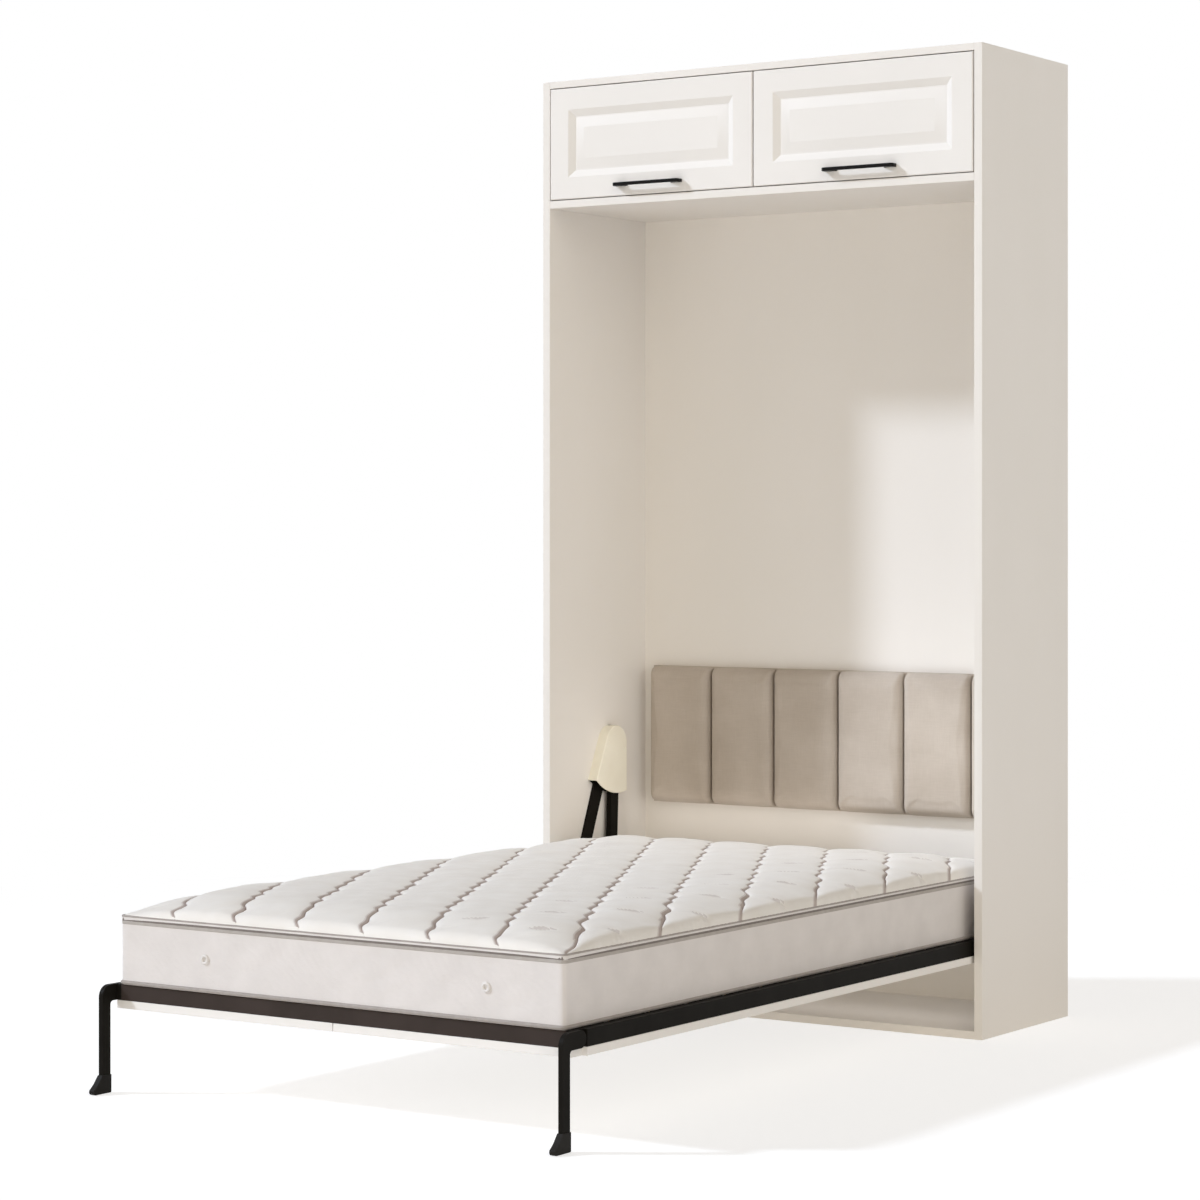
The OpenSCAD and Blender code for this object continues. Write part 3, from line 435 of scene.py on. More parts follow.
def rod_along_y(x, y0, y1, z, r, sides=48):
    bm = bmesh.new()
    bmesh.ops.create_cone(bm, cap_ends=True, segments=sides, radius1=r * MM, radius2=r * MM,
                          depth=(y1 - y0) * MM)
    turn = Matrix.Translation(Vector((x, (y0 + y1) / 2, z)) * MM) @ Matrix.Rotation(math.pi / 2, 4, "X")
    bmesh.ops.transform(bm, matrix=turn, verts=bm.verts[:])
    return from_bmesh("cutter", bm)


def bridge(faces, loop, fresh):
    """Joins two closed rings of points by faces."""
    for k in range(len(loop)):
        m = (k + 1) % len(loop)
        faces.append([loop[k], loop[m], fresh[m], fresh[k]])


def draw_on(points, faces, loop, ring):
    """Adds a ring of points, joins it to the loop before it and returns it as the next loop."""
    fresh = [len(points) + k for k in range(len(ring))]
    points += ring
    bridge(faces, loop, fresh)
    return fresh


def ring_faces(rings, size, closed):
    """Faces between rings of points that follow each other, each ring of the same size."""
    faces = []
    for i in range(rings if closed else rings - 1):
        here = [i * size + s for s in range(size)]
        there = [(i + 1) % rings * size + s for s in range(size)]
        bridge(faces, here, there)
    return faces


def rim_of(nx, ny):
    """Columns and rows round the rim of a grid of points, as (i, j)."""
    return ([(i, 0) for i in range(nx)] + [(nx - 1, j) for j in range(1, ny)]
            + [(i, ny - 1) for i in range(nx - 2, -1, -1)] + [(0, j) for j in range(ny - 2, 0, -1)])


def cell(i, j, nx):
    """Points of one cell of a grid that is nx points wide."""
    return [j * nx + i, j * nx + i + 1, (j + 1) * nx + i + 1, (j + 1) * nx + i]


def filleted(points, radii, steps=3):
    """An open line of flat points whose inner corners are rounded."""
    out = [Vector(points[0])]
    for before, corner, after, r in zip(points, points[1:], points[2:], radii):
        c = Vector(corner)
        a, b = Vector(before) - c, Vector(after) - c
        half = a.angle(b) / 2
        reach = min(r / math.tan(half), a.length * 0.49, b.length * 0.49)
        a.normalize()
        b.normalize()
        radius = reach * math.tan(half)
        centre = c + (a + b).normalized() * (radius / math.sin(half))
        s, e = c + a * reach - centre, c + b * reach - centre
        turn = s.angle(e)
        for k in range(steps + 1):
            t = k / steps
            out.append(centre + (s * math.sin((1 - t) * turn) + e * math.sin(t * turn)) / math.sin(turn))
    out.append(Vector(points[-1]))
    return out


# Chamfer at the back of a moulded board, and the number of steps round its front edge
BACK_CHAMFER = 0.8
EDGE_STEPS = 4


def moulded_slab(name, xs, ys, fields, thick, profile, edge_r, place):
    """A board with moulded fields. xs and ys are its cut lines and fields the sunk cells.
    profile holds (inset, depth) from the rim of a field inwards. place puts (x, y, depth) in the frame."""
    def line_at(lines, i, inset):
        return lines[0] + inset if i == 0 else lines[-1] - inset if i == len(lines) - 1 else lines[i]

    nx, ny = len(xs), len(ys)
    points = [place(line_at(xs, i, edge_r), line_at(ys, j, edge_r), 0)
              for j in range(ny) for i in range(nx)]
    faces = [cell(i, j, nx) for j in range(ny - 1) for i in range(nx - 1) if (i, j) not in fields]
    rim = rim_of(nx, ny)
    loop = [j * nx + i for i, j in rim]
    arc = [math.pi / 2 * k / EDGE_STEPS for k in range(1, EDGE_STEPS + 1)]
    rings = [(edge_r * (1 - math.sin(t)), edge_r * (1 - math.cos(t))) for t in arc]
    rings += [(0, thick - BACK_CHAMFER), (BACK_CHAMFER, thick)]
    for inset, depth in rings:
        ring = [place(line_at(xs, i, inset), line_at(ys, j, inset), depth) for i, j in rim]
        loop = draw_on(points, faces, loop, ring)
    faces.append(loop)
    for i, j in fields:
        loop = cell(i, j, nx)
        for inset, depth in profile[1:]:
            ring = [place(xs[i + a] + inset * (1 - 2 * a), ys[j + b] + inset * (1 - 2 * b), depth)
                    for a, b in ((0, 0), (1, 0), (1, 1), (0, 1))]
            loop = draw_on(points, faces, loop, ring)
        faces.append(loop)
    return from_points(name, points, faces)


def moulding(depth=10.0, slope=21.0, quirk=3.5, bevel=27.0, field=2.8):
    """Profile of the moulding round a field, as (inset, depth): down a slope, along a quirk,
    and up a bevel to the raised field."""
    lip = 3.0
    a = slope
    b = a + quirk
    c = b + bevel
    line = [(0, 0), (lip, 0), (a - 1.5, depth - 1.2), (a, depth), (b, depth), (c, field), (c + 6, field)]
    return filleted(line, [4.0, 5.0, 1.0, 1.2, 3.0])


# Cabinet

for node in ("left_side_panel", "right_side_panel", "top_panel", "bottom_panel", "shelf_panel"):
    eased_board(node, LAMINATE)
soften("centre_partition", LAMINATE, 0.8)
for node in ("back_panel", "wall_fixing_rail"):
    coat_node(node, LAMINATE)


# Doors and face panels. Both sides are drawn from the right one.

SHARP_FROM = 20
DOOR_BORDER = 54
DOOR_EDGE_R = 3.2
# Hinge cup: radius and depth of its bore, and from the end of its flange to its middle
CUP_R = 17.6
CUP_DEPTH = 12.3
CUP_MIDDLE = 27.5
FACE_BORDER = 70
FACE_EDGE_R = 1.6
# Slot for the leg in the face panel: where it starts in x, and its room behind the leg
SLOT_X = 609.5
SLOT_ROOM = 3
# How far a cutter stands over what it cuts
OVER = 5


def door(side, node):
    (lo_x, hi_x), (y0, y1), (z0, z1) = spans("right_door")
    xs = [lo_x, lo_x + DOOR_BORDER, hi_x - DOOR_BORDER, hi_x]
    zs = [z0, z0 + DOOR_BORDER, z1 - DOOR_BORDER, z1]
    obj = moulded_slab(node + "_raised", xs, zs, [(1, 1)], y1 - y0, moulding(), DOOR_EDGE_R,
                       lambda x, z, d: (side * x, y0 + d, z))
    cups = span("right_door_cups", 0)
    cup_z = sum(span("right_door_cups", 2)) / 2
    for x in (cups[0] + CUP_MIDDLE, cups[1] - CUP_MIDDLE):
        cut(obj, rod_along_y(side * x, y1 - CUP_DEPTH, y1 + OVER, cup_z, CUP_R))
    smooth_by_angle(obj, SHARP_FROM)
    return finish_piece(obj, node, [PAINT], [node])


def face_panel(side, node):
    (lo_x, hi_x), (y0, y1), (z0, z1) = spans("right_face_panel")
    h = (y1 - y0 - FACE_BORDER) / 2 - FACE_BORDER
    xs = [lo_x, lo_x + FACE_BORDER, hi_x - FACE_BORDER, hi_x]
    middle = y0 + FACE_BORDER + h
    ys = [y0, y0 + FACE_BORDER, middle, middle + FACE_BORDER, y1 - FACE_BORDER, y1]
    obj = moulded_slab(node + "_raised", xs, ys, [(1, 1), (1, 3)], z1 - z0, moulding(), FACE_EDGE_R,
                       lambda x, y, d: (side * x, y, z0 + d))
    slot = sorted((side * SLOT_X, side * (hi_x + OVER)))
    lo = Vector((slot[0], y0 - OVER, z0 - OVER)) * MM
    hi = Vector((slot[1], span("right_leg", 1)[1] + SLOT_ROOM, z1 + OVER)) * MM
    cut(obj, from_bmesh("cutter", cuboid(lo, hi)))
    smooth_by_angle(obj, SHARP_FROM)
    return finish_piece(obj, "bed_frame", [PAINT], [node])


for side, word in SIDES:
    door(side, word + "_door")
for side, word in SIDES:
    face_panel(side, word + "_face_panel")


# Steel parts

# Planes of the inner faces of the lift plates and covers, whose edges are eased
PLATE_FACE_X = 624
COVER_FACE_X = 601


def on_face(x, side):
    """Chooses the edges that lie in the plane x on one side."""
    return lambda a, b: abs(a.x - side * x) < 0.2 and abs(b.x - side * x) < 0.2


for side, word in SIDES:
    soften(word + "_lift_plate", SHADED_STEEL, 0.8, 2, on_face(PLATE_FACE_X, side))
    soften(word + "_lift_cover", CREAM, 3.6, 4, on_face(COVER_FACE_X, side), 3.0)
    soften(word + "_strut_sleeve", SHADED_STEEL, 1.6, 3)
    soften(word + "_strut_bar", STEEL, 0.8, 2)
    # The side rails have the same coat as the foot rail; their darker copy is painted shade
    soften(word + "_side_rail", SHADED_STEEL, 1.6, 3)
    soften(word + "_ear_plate", STEEL, 0.8, 2)
    soften(word + "_leg", SHADED_STEEL, 2.2, 3, longer=1.2)
    soften(word + "_leg_shoe", BLACK_PLASTIC, 2.4, 3, longer=0.4)
    soften(word + "_door_handle", HANDLE, 1.6, 3, longer=0.4)
soften("foot_rail", STEEL, 1.6, 3)

SHOWN_AS_DRAWN = {
    "headboard_board": LINEN, "lift_plate_screws": ZINC, "bed_pivot_pins": ZINC, "strut_head_pins": ZINC,
    "left_door_cups": ZINC, "right_door_cups": ZINC, "flap_hinge_arms": ZINC, "head_rail": STEEL,
    "cross_bars": STEEL, "slats": SLAT, "slat_holders": BLACK_PLASTIC, "pivot_bushes": NYLON,
    "face_panel_screws": ZINC, "mattress_stop": STEEL, "leg_pins": SHADED_STEEL,
}
for node, material in SHOWN_AS_DRAWN.items():
    coat_node(node, material)


# Mattress

# The grooves run at a slant: pitch across the foot, sideways step for each millimetre of length, and
# the place of groove 0 at the foot
GROOVE_PITCH = 174.3
GROOVE_LEAN = 0.54
FIRST_GROOVE = -605.4
LEAN = math.atan(GROOVE_LEAN)
# Half the distance between two grooves
PANEL = GROOVE_PITCH * math.cos(LEAN) / 2
# Depth of a groove, its share at the rim, and the distance at which it is full
GROOVE_DEPTH = 13.0
RIM_SHARE = 0.3
GROOVE_FADE = 36.0
# Power of the curve of a pillow between two grooves. 2 is a circle and more is fuller.
PILLOW = 2.7
# Steps of the zigzag along a groove: length, height, share of the slow run, and how much of the height
# goes to the broad teeth and to those of half the length
TOOTH = 199.0
ZIGZAG = 6.6
RUN = 0.68
BROAD_SHARE = 0.62
FINE_SHARE = 0.7
# The teeth start this far from an edge and are full after the second distance
TEETH_FROM = 30
TEETH_FADE = 40
# Hook at the foot end of a groove: where it starts, the length it takes, its height, and its turn back
HOOK_FROM = 64
HOOK_LENGTH = 52
HOOK = 13
HOOK_BACK = 10
HOOK_TIP = 15
# Shoulder of the top: its radius and its share of the rise, then how far the crown reaches in from
# the long sides, the foot and the head
SHOULDER = 18
SHOULDER_SHARE = 0.42
CROWN_SIDE = 165
CROWN_FOOT = 160
CROWN_HEAD = 340
# How far the corners sink, how wide, and how far up the left foot corner counts
SAG = 9
LEFT_FOOT_SAG = 24
SAG_WIDTH = 130
LEFT_FOOT_REACH = 500
# Along the grooves: the first jog in groove 0 and its shift from one groove to the next, and the same
# for the tufts, which lie further up in every second panel
JOG_FROM = -11
JOG_SHIFT = 7
TUFT_FROM = 193
TUFT_SHIFT = -12
TUFT_ODD = 88
# Half width of a tuft fold, its middle as a share of PANEL, and how much of the chance slip it takes
TUFT_HALF = 29.0
TUFT_MIDDLE = 1.06
TUFT_SLIP = 0.6
# Depth of a tuft fold, and what is added to it near the long sides, over the width that follows
TUFT_DEPTH = 1.4
SIDE_TUFT_DEPTH = 4.2
SIDE_TUFT_WIDTH = 230
# The swelling before a tuft fold: its share of the depth, half width, distance and half length
SWELL = 0.5
SWELL_HALF = 40
SWELL_BEFORE = 24
SWELL_LENGTH = 12.0
CREASE_DEPTH = 2.1
CREASE_START = 8
# Steep and slow side of a tuft fold and of a crease
TUFT_SIDES = (4.0, 15.0)
CREASE_SIDES = (4.5, 10.0)
# Folds are full at this distance from the edge
FOLD_FADE = 12.0
UNEVEN = 0.8
LEAST_HEIGHT = 1.2
CORNER_R = 12.0
# Painted shade along the sewn line in a groove: its start at the foot, its left side in the part that is
# near the camera and elsewhere, its right side, and the paler painted shade beside it
GROOVE_SHADE_START = 2.6
GROOVE_SHADE_NEAR = 5.5
GROOVE_SHADE_FAR = 3.6
GROOVE_SHADE_RIGHT = 1.2
SOFT_SHADE_LEFT = 4.2
SOFT_SHADE_RIGHT = 2.4
# The near part: from the foot up, and from this far off the right side
NEAR_LENGTH = 900
NEAR_GAP = 40
# Tuft folds get painted shade between these distances from the right side, over this length
DARK_FROM = 20
DARK_TO = 330
DARK_LENGTH = 9
# Mattress slots: top cloth, side cloth, painted shade in the grooves, paler painted shade beside them and
# in tuft folds
TOP_CLOTH, SIDE_CLOTH, GROOVE_SHADE_CLOTH, SOFT_SHADE_CLOTH = range(4)
# Distances of rows from the foot and head, and of columns from a groove
ROWS_AT_EDGE = [0, 0.7, 1.6, 2.8, 4.4, 6.4, 9, 12, 15.5, 19.5, 24]
ROW_PITCH = 4.8
GROOVE_COLUMNS = [0, 1.1, 2.3, 4.0, 6.4, 9.6, 14, 20, 28, 36, 44, 52, 60, 68, PANEL]
GROOVES = range(-1, 16)
# The side: steps down, inset at once, waist, and the depth and end of its faint quilting
WALL_STEPS = 24
WALL_INSET = 1.0
WAIST = 1.2
QUILT = 0.9
QUILT_END = 0.06


def chance_folds():
    """Size, slip, length and lean of the folds in panel k at tooth m."""
    rng = random.Random(7)
    folds = {}
    for k in range(-3, 18):
        for m in range(-14, 8):
            size = rng.uniform(0.5, 1.0)
            slip = rng.uniform(-9, 9)
            length = rng.uniform(0.45, 0.85)
            lean = rng.uniform(0.25, 0.6)
            folds[k, m] = (size, slip, length, lean)
    return folds


fold = chance_folds()


def within(t):
    """t, kept between 0 and 1."""
    return min(1.0, max(0.0, t))


def bell(d, wide):
    """1 in the middle, and falling off with the distance."""
    return math.exp(-(d / wide) ** 2)


def lopsided(d, sides):
    """A bell with a steep side, where d is positive, and a slow one."""
    return bell(d, sides[0] if d > 0 else sides[1])


def jog_place(k):
    """Place of the first jog of groove k. Neighbours are half a tooth apart."""
    return JOG_FROM + JOG_SHIFT * k + (TOOTH / 2 if k % 2 == 0 else 0)


def tuft_place(k):
    """Place of the first tuft in the panel right of groove k."""
    return TUFT_FROM + TUFT_SHIFT * k + (TUFT_ODD if k % 2 else 0)


def triangle(t):
    """Zigzag between -1 and 1 with a slow run and a quick jog."""
    t -= math.floor(t)
    return 2 * t / RUN - 1 if t < RUN else 1 - 2 * (t - RUN) / (1 - RUN)


def edge_gap(x, y):
    """Distance to the nearest edge of the mattress."""
    return min(SIDE_X - abs(x), y - FOOT_Y, HEAD_Y - y)


def along_groove(x, y):
    """How far a point lies along the grooves."""
    return -x * math.sin(LEAN) + y * math.cos(LEAN)


def panel_of(k, off):
    """The panel of a point at the distance off from groove k, and how far it lies across it."""
    return (k, off) if off >= 0 else (k - 1, 2 * PANEL + off)


def groove_shift(k, v, gap, foot):
    """Sideways step of groove k at the distance v along it. The teeth fade over the shoulder,
    and at the foot the line ends in a hook. foot is the distance from the foot edge."""
    jitter = 0.07 * math.sin(k * 2.1 + v / 310)
    step = (v - jog_place(k)) / TOOTH + jitter
    tooth = ZIGZAG * (BROAD_SHARE * triangle(step) + FINE_SHARE * triangle(2 * step + 0.15))
    tooth *= within((gap - TEETH_FROM) / TEETH_FADE)
    bend = within((HOOK_FROM - foot) / HOOK_LENGTH)
    hook = -HOOK * bend * bend * (3 - 2 * bend) + HOOK_BACK * max(0.0, 1 - foot / HOOK_TIP) ** 2
    return tooth + hook


def edge_rise(d, reach):
    """Rise of the top near an edge that is d away: a round shoulder, then a slow crown."""
    steep = math.sqrt(1 - (1 - within(d / SHOULDER)) ** 2)
    slow = 1 - (1 - within(d / reach)) ** 2
    return SHOULDER_SHARE * steep + (1 - SHOULDER_SHARE) * slow


def corner_sag(x, y):
    """How far the stuffing sinks towards the corners. The left foot corner is the emptiest."""
    far = math.hypot(SIDE_X - abs(x), min(y - FOOT_Y, HEAD_Y - y))
    left_foot = x < 0 and y < FOOT_Y + LEFT_FOOT_REACH
    return (LEFT_FOOT_SAG if left_foot else SAG) * bell(far, SAG_WIDTH)


def tuft(panel, across, v, edge_x):
    """Where a point lies on the nearest tuft fold, and its depth. There is one in the middle of the
    panel for each tooth."""
    step = (v - tuft_place(panel)) / TOOTH
    m = round(step)
    size, slip, _, _ = fold[panel, m]
    d_v = (step - m) * TOOTH - slip * TUFT_SLIP
    depth = TUFT_DEPTH * size + SIDE_TUFT_DEPTH * bell(edge_x, SIDE_TUFT_WIDTH)
    return across - PANEL * TUFT_MIDDLE, d_v, depth


def tuft_depth(panel, across, v, edge_x):
    """Depth of the tuft fold, less the swelling before it."""
    centre, d_v, depth = tuft(panel, across, v, edge_x)
    lens = max(0.0, 1 - (centre / TUFT_HALF) ** 2)
    sunk = lens * lopsided(d_v, TUFT_SIDES)
    raised = SWELL * bell(centre, SWELL_HALF) * bell(d_v + SWELL_BEFORE, SWELL_LENGTH)
    return depth * (sunk - raised)


def crease_depth(panel, across, v):
    """Depth of the creases that leave the teeth on both sides of the panel."""
    total = 0
    for side, near in ((0, across), (1, 2 * PANEL - across)):
        step = (v - jog_place(panel + side)) / TOOTH - (0.0 if side else RUN)
        m = round(step)
        size, slip, length, lean = fold[panel, m - side]
        run = 2 * PANEL * length
        if near < run:
            line = (step - m) * TOOTH - slip - lean * near * (1 - 2 * side)
            share = min(1.0, (near + CREASE_START) / (run + CREASE_START))
            fade = math.sin(math.pi * share) ** 0.7
            total += CREASE_DEPTH * size * fade * lopsided(line, CREASE_SIDES)
    return total


def top_height(x, y, k, off, v):
    """Height above the piping. off is the signed distance from the nearest groove k."""
    edge_x = SIDE_X - abs(x)
    gap = edge_gap(x, y)
    rise = edge_rise(edge_x, CROWN_SIDE)
    rise *= edge_rise(y - FOOT_Y, CROWN_FOOT) * edge_rise(HEAD_Y - y, CROWN_HEAD)
    t = min(1.0, abs(off) / PANEL)
    pillow = (1 - (1 - t) ** PILLOW) ** (1 / PILLOW)
    full = RIM_SHARE + (1 - RIM_SHARE) * min(1.0, gap / GROOVE_FADE)
    z = rise * (CROWN - corner_sag(x, y)) - GROOVE_DEPTH * full * (1 - pillow)
    panel, across = panel_of(k, off)
    folds = tuft_depth(panel, across, v, edge_x) + crease_depth(panel, across, v)
    z -= folds * min(1.0, gap / FOLD_FADE)
    z += UNEVEN * math.sin(x / 61 + k) * math.sin(y / 73 + 1.3 * k)
    return max(z, LEAST_HEIGHT)


def to_corner(x, y):
    """Rounds the four corners of the outline."""
    dx = SIDE_X - abs(x)
    dy = min(y - FOOT_Y, HEAD_Y - y)
    if dx >= CORNER_R or dy >= CORNER_R:
        return x, y
    a, b = CORNER_R - dx, CORNER_R - dy
    square = 2 * CORNER_R ** 2
    a, b = a * math.sqrt(1 - b * b / square), b * math.sqrt(1 - a * a / square)
    sx = 1 if x > 0 else -1
    head = y > (FOOT_Y + HEAD_Y) / 2
    new_y = HEAD_Y - CORNER_R + b if head else FOOT_Y + CORNER_R - b
    return sx * (SIDE_X - CORNER_R + a), new_y


def steps_over(length, near, pitch):
    """Places over a length that come closer together at both ends."""
    middle = length - 2 * near[-1]
    n = math.ceil(middle / pitch)
    inner = [near[-1] + middle * k / n for k in range(1, n)]
    return near + inner + [length - d for d in reversed(near)]


def cloth_of(k, off, x, y):
    """Material slot of a top face: painted groove shade, paler painted shade, or plain cloth."""
    if y - FOOT_Y > GROOVE_SHADE_START:
        # The painted shade along a groove is wider on its left side in the part near the camera
        wide = GROOVE_SHADE_NEAR if SIDE_X - x > NEAR_GAP and y < FOOT_Y + NEAR_LENGTH else GROOVE_SHADE_FAR
        if -wide < off < GROOVE_SHADE_RIGHT:
            return GROOVE_SHADE_CLOTH
        if -wide - SOFT_SHADE_LEFT < off < SOFT_SHADE_RIGHT:
            return SOFT_SHADE_CLOTH
    panel, across = panel_of(k, off)
    centre, d_v, _ = tuft(panel, across, along_groove(x, y), SIDE_X - abs(x))
    # Painted shade in the tuft folds near the right side
    near_right = DARK_FROM < SIDE_X - x < DARK_TO
    lens = 1 - (centre / TUFT_HALF) ** 2
    dark = near_right and lens > 0 and 0 < d_v < DARK_LENGTH * math.sqrt(lens)
    return SOFT_SHADE_CLOTH if dark else TOP_CLOTH


def mattress_top():
    """The quilted top as a sheared grid that follows the grooves, cut to the outline."""
    offsets = [-o for o in GROOVE_COLUMNS[-2:0:-1]] + GROOVE_COLUMNS
    columns = [(k, off) for k in GROOVES for off in offsets]
    places = [FOOT_Y + d for d in steps_over(HEAD_Y - FOOT_Y, ROWS_AT_EDGE, ROW_PITCH)]
    bm = bmesh.new()
    key = bm.verts.layers.float_vector.new("key")
    grid = []
    for y in places:
        line = []
        for k, off in columns:
            groove_x = FIRST_GROOVE + k * GROOVE_PITCH - (y - FOOT_Y) * GROOVE_LEAN
            x_mid = groove_x + off / math.cos(LEAN)
            vert = None
            if abs(x_mid) < SIDE_X + 60:
                v = along_groove(x_mid, y)
                weight = 0.5 + 0.5 * math.cos(math.pi * min(1.0, abs(off) / PANEL))
                shift = groove_shift(k, v, edge_gap(x_mid, y), y - FOOT_Y)
                vert = bm.verts.new((x_mid + shift * weight / math.cos(LEAN), y, 0))
                vert[key] = (k, off, v)
            line.append(vert)
        grid.append(line)
    for j in range(len(places) - 1):
        for i in range(len(columns) - 1):
            quad = [grid[j][i], grid[j][i + 1], grid[j + 1][i + 1], grid[j + 1][i]]
            if all(quad):
                face = bm.faces.new(quad)
                k, off = columns[i]
                mid = (off + columns[i + 1][1]) / 2 if columns[i + 1][0] == k else off
                face.material_index = cloth_of(k, mid, quad[0].co.x, (places[j] + places[j + 1]) / 2)
    for side in (-1, 1):
        whole = bm.verts[:] + bm.edges[:] + bm.faces[:]
        bmesh.ops.bisect_plane(bm, geom=whole, dist=1e-4, plane_co=(side * SIDE_X, 0, 0),
                               plane_no=(side, 0, 0), clear_outer=True)
    bmesh.ops.delete(bm, geom=[v for v in bm.verts if not v.link_faces], context="VERTS")
    for v in bm.verts:
        k, off, along = v[key]
        x, y = v.co.x, v.co.y
        z = top_height(x, y, round(k), off, along) if edge_gap(x, y) > 0.05 else 0.0
        x, y = to_corner(x, y)
        v.co = (x, y, BASE_Z + SIDE_H + z)
    return bm


def rim_loop(bm):
    """The points of an open rim in order, counterclockwise from above."""
    start = next(e for e in bm.edges if len(e.link_faces) == 1).verts[0]
    loop = [start]
    seen = {start}
    while True:
        beside = [e.other_vert(loop[-1]) for e in loop[-1].link_edges if len(e.link_faces) == 1]
        fresh = [v for v in beside if v not in seen]
        if not fresh:
            break
        loop.append(fresh[0])
        seen.add(fresh[0])
    around = loop[1:] + loop[:1]
    if sum(a.co.x * b.co.y - b.co.x * a.co.y for a, b in zip(loop, around)) < 0:
        loop.reverse()
    return loop


def side_quilt(u, w, f):
    """Depth of the faint quilting in the foot side. f is the share of the way down."""
    wave = math.sin(u / 26 + 2.2 * math.sin(w / 21)) * math.sin(w / 17 + 1.4 * math.sin(u / 47))
    return QUILT * max(0.0, wave) ** 2 * min(1, (1 - QUILT_END - f) * 8, (f - QUILT_END) * 8)


def wall_of(bm):
    """Draws the sides down from the rim of the top, with a slight waist, and closes the base."""
    prev = rim_loop(bm)
    n = len(prev)
    flat = [Vector((v.co.x, v.co.y)) for v in prev]
    inward = []
    for i in range(n):
        t = flat[(i + 1) % n] - flat[i - 1]
        inward.append(Vector((-t.y, t.x)).normalized())
    mid_y = (FOOT_Y + HEAD_Y) / 2
    half_y = (HEAD_Y - FOOT_Y) / 2
    for r in range(1, WALL_STEPS + 1):
        f = r / WALL_STEPS
        z = BASE_Z + SIDE_H * (1 - f)
        # The last ring is drawn in by one more millimetre
        last = 1.0 if r == WALL_STEPS else 0.0
        fresh = []
        for p, to_inside in zip(flat, inward):
            corner = min(abs(p.x) / SIDE_X, abs(p.y - mid_y) / half_y) ** 6
            waist = WALL_INSET * min(1.0, 6 * f) + WAIST * math.sin(math.pi * f) * (1 - corner)
            if p.y < FOOT_Y + 1 and QUILT_END < f < 1 - QUILT_END:
                waist += side_quilt(p.x, z - BASE_Z, f)
            q = p + to_inside * (waist + last)
            fresh.append(bm.verts.new((q.x, q.y, z)))
        for i in range(n):
            m = (i + 1) % n
            bm.faces.new([prev[i], fresh[i], fresh[m], prev[m]]).material_index = SIDE_CLOTH
        prev = fresh
    bm.faces.new(prev).material_index = SIDE_CLOTH


def swept(name, path, section):
    """A closed band round the mattress outline. section holds (outward, height)."""
    points = []
    n = len(path)
    for i in range(n):
        t = path[(i + 1) % n] - path[i - 1]
        out = Vector((t.y, -t.x)).normalized()
        points += [(path[i].x + out.x * a, path[i].y + out.y * a, z) for a, z in section]
    return from_points(name, points, ring_faces(n, len(section), True))


def cord_section(z, radius, sides=10):
    turns = [2 * math.pi * s / sides for s in range(sides)]
    return [(radius * math.cos(a), z + radius * math.sin(a)) for a in turns]


def tape_section(z0, z1, thick=2.4):
    """Section of a flat tape with round edges, from z0 to z1."""
    edge = [(-thick, 0), (-0.8, 0), (-0.2, 0.5), (0, 1.4)]
    low = [(a, z0 + h) for a, h in edge]
    high = [(a, z1 - h) for a, h in reversed(edge)]
    return low + [(0, (z0 + z1) / 2)] + high


def outline(inset, step=16.0):
    """Even points round the mattress outline, drawn in by an amount."""
    x1, y0, y1 = SIDE_X - inset, FOOT_Y + inset, HEAD_Y - inset
    r = CORNER_R - inset
    corners = ((x1 - r, y0 + r, -90), (x1 - r, y1 - r, 0), (-x1 + r, y1 - r, 90), (-x1 + r, y0 + r, 180))
    path = []
    for cx, cy, start in corners:
        for k in range(9):
            a = math.radians(start + 90 * k / 8)
            path.append(Vector((cx + r * math.cos(a), cy + r * math.sin(a))))
    out = []
    for a, b in zip(path, path[1:] + path[:1]):
        n = max(1, int((b - a).length / step))
        out += [a.lerp(b, k / n) for k in range(n)]
    return out


# Cords: how far they are drawn in, their height over the top of the side or over its foot, and radius
TOP_CORD = (1.6, 1.0, 2.4)
BASE_CORD = (1.2, 5.0, 4.4)
# Tapes: how far they are drawn in, and their lower and upper edge over the top of the side
# The first tape is a dark strip of painted shadow under the top cord
CORD_SHADOW_TAPE = (0.3, -10.0, -0.8)
FLAT_TAPE = (0.1, -16.5, -9.0)


def finish_knit(obj, materials, nodes=()):
    finish_piece(obj, "bed_frame", materials, nodes)


def cord(name, z, sizes):
    inset, rise, radius = sizes
    obj = swept(name, outline(inset), cord_section(z + rise, radius))
    obj.data.shade_smooth()
    finish_knit(obj, [PIPING])


def flat_tape(name, z, sizes, material):
    inset, low, high = sizes
    obj = swept(name, outline(inset), tape_section(z + low, z + high))
    smooth_by_angle(obj, 60)
    finish_knit(obj, [material])


def make_mattress():
    bm = mattress_top()
    wall_of(bm)
    for v in bm.verts:
        v.co *= MM
    obj = from_bmesh("mattress_quilted", bm)
    obj.data.shade_smooth()
    obj.data.set_sharp_from_angle(angle=math.radians(75))
    finish_knit(obj, [TOP_KNIT, SIDE_KNIT, GROOVE_SHADE, GROOVE_SHADE_EDGE], ["mattress"])
    z1 = BASE_Z + SIDE_H
    cord("mattress_piping_top", z1, TOP_CORD)
    cord("mattress_piping_base", BASE_Z, BASE_CORD)
    flat_tape("mattress_cord_shadow", z1, CORD_SHADOW_TAPE, CORD_SHADOW)
    flat_tape("mattress_tape_top", z1, FLAT_TAPE, TAPE)


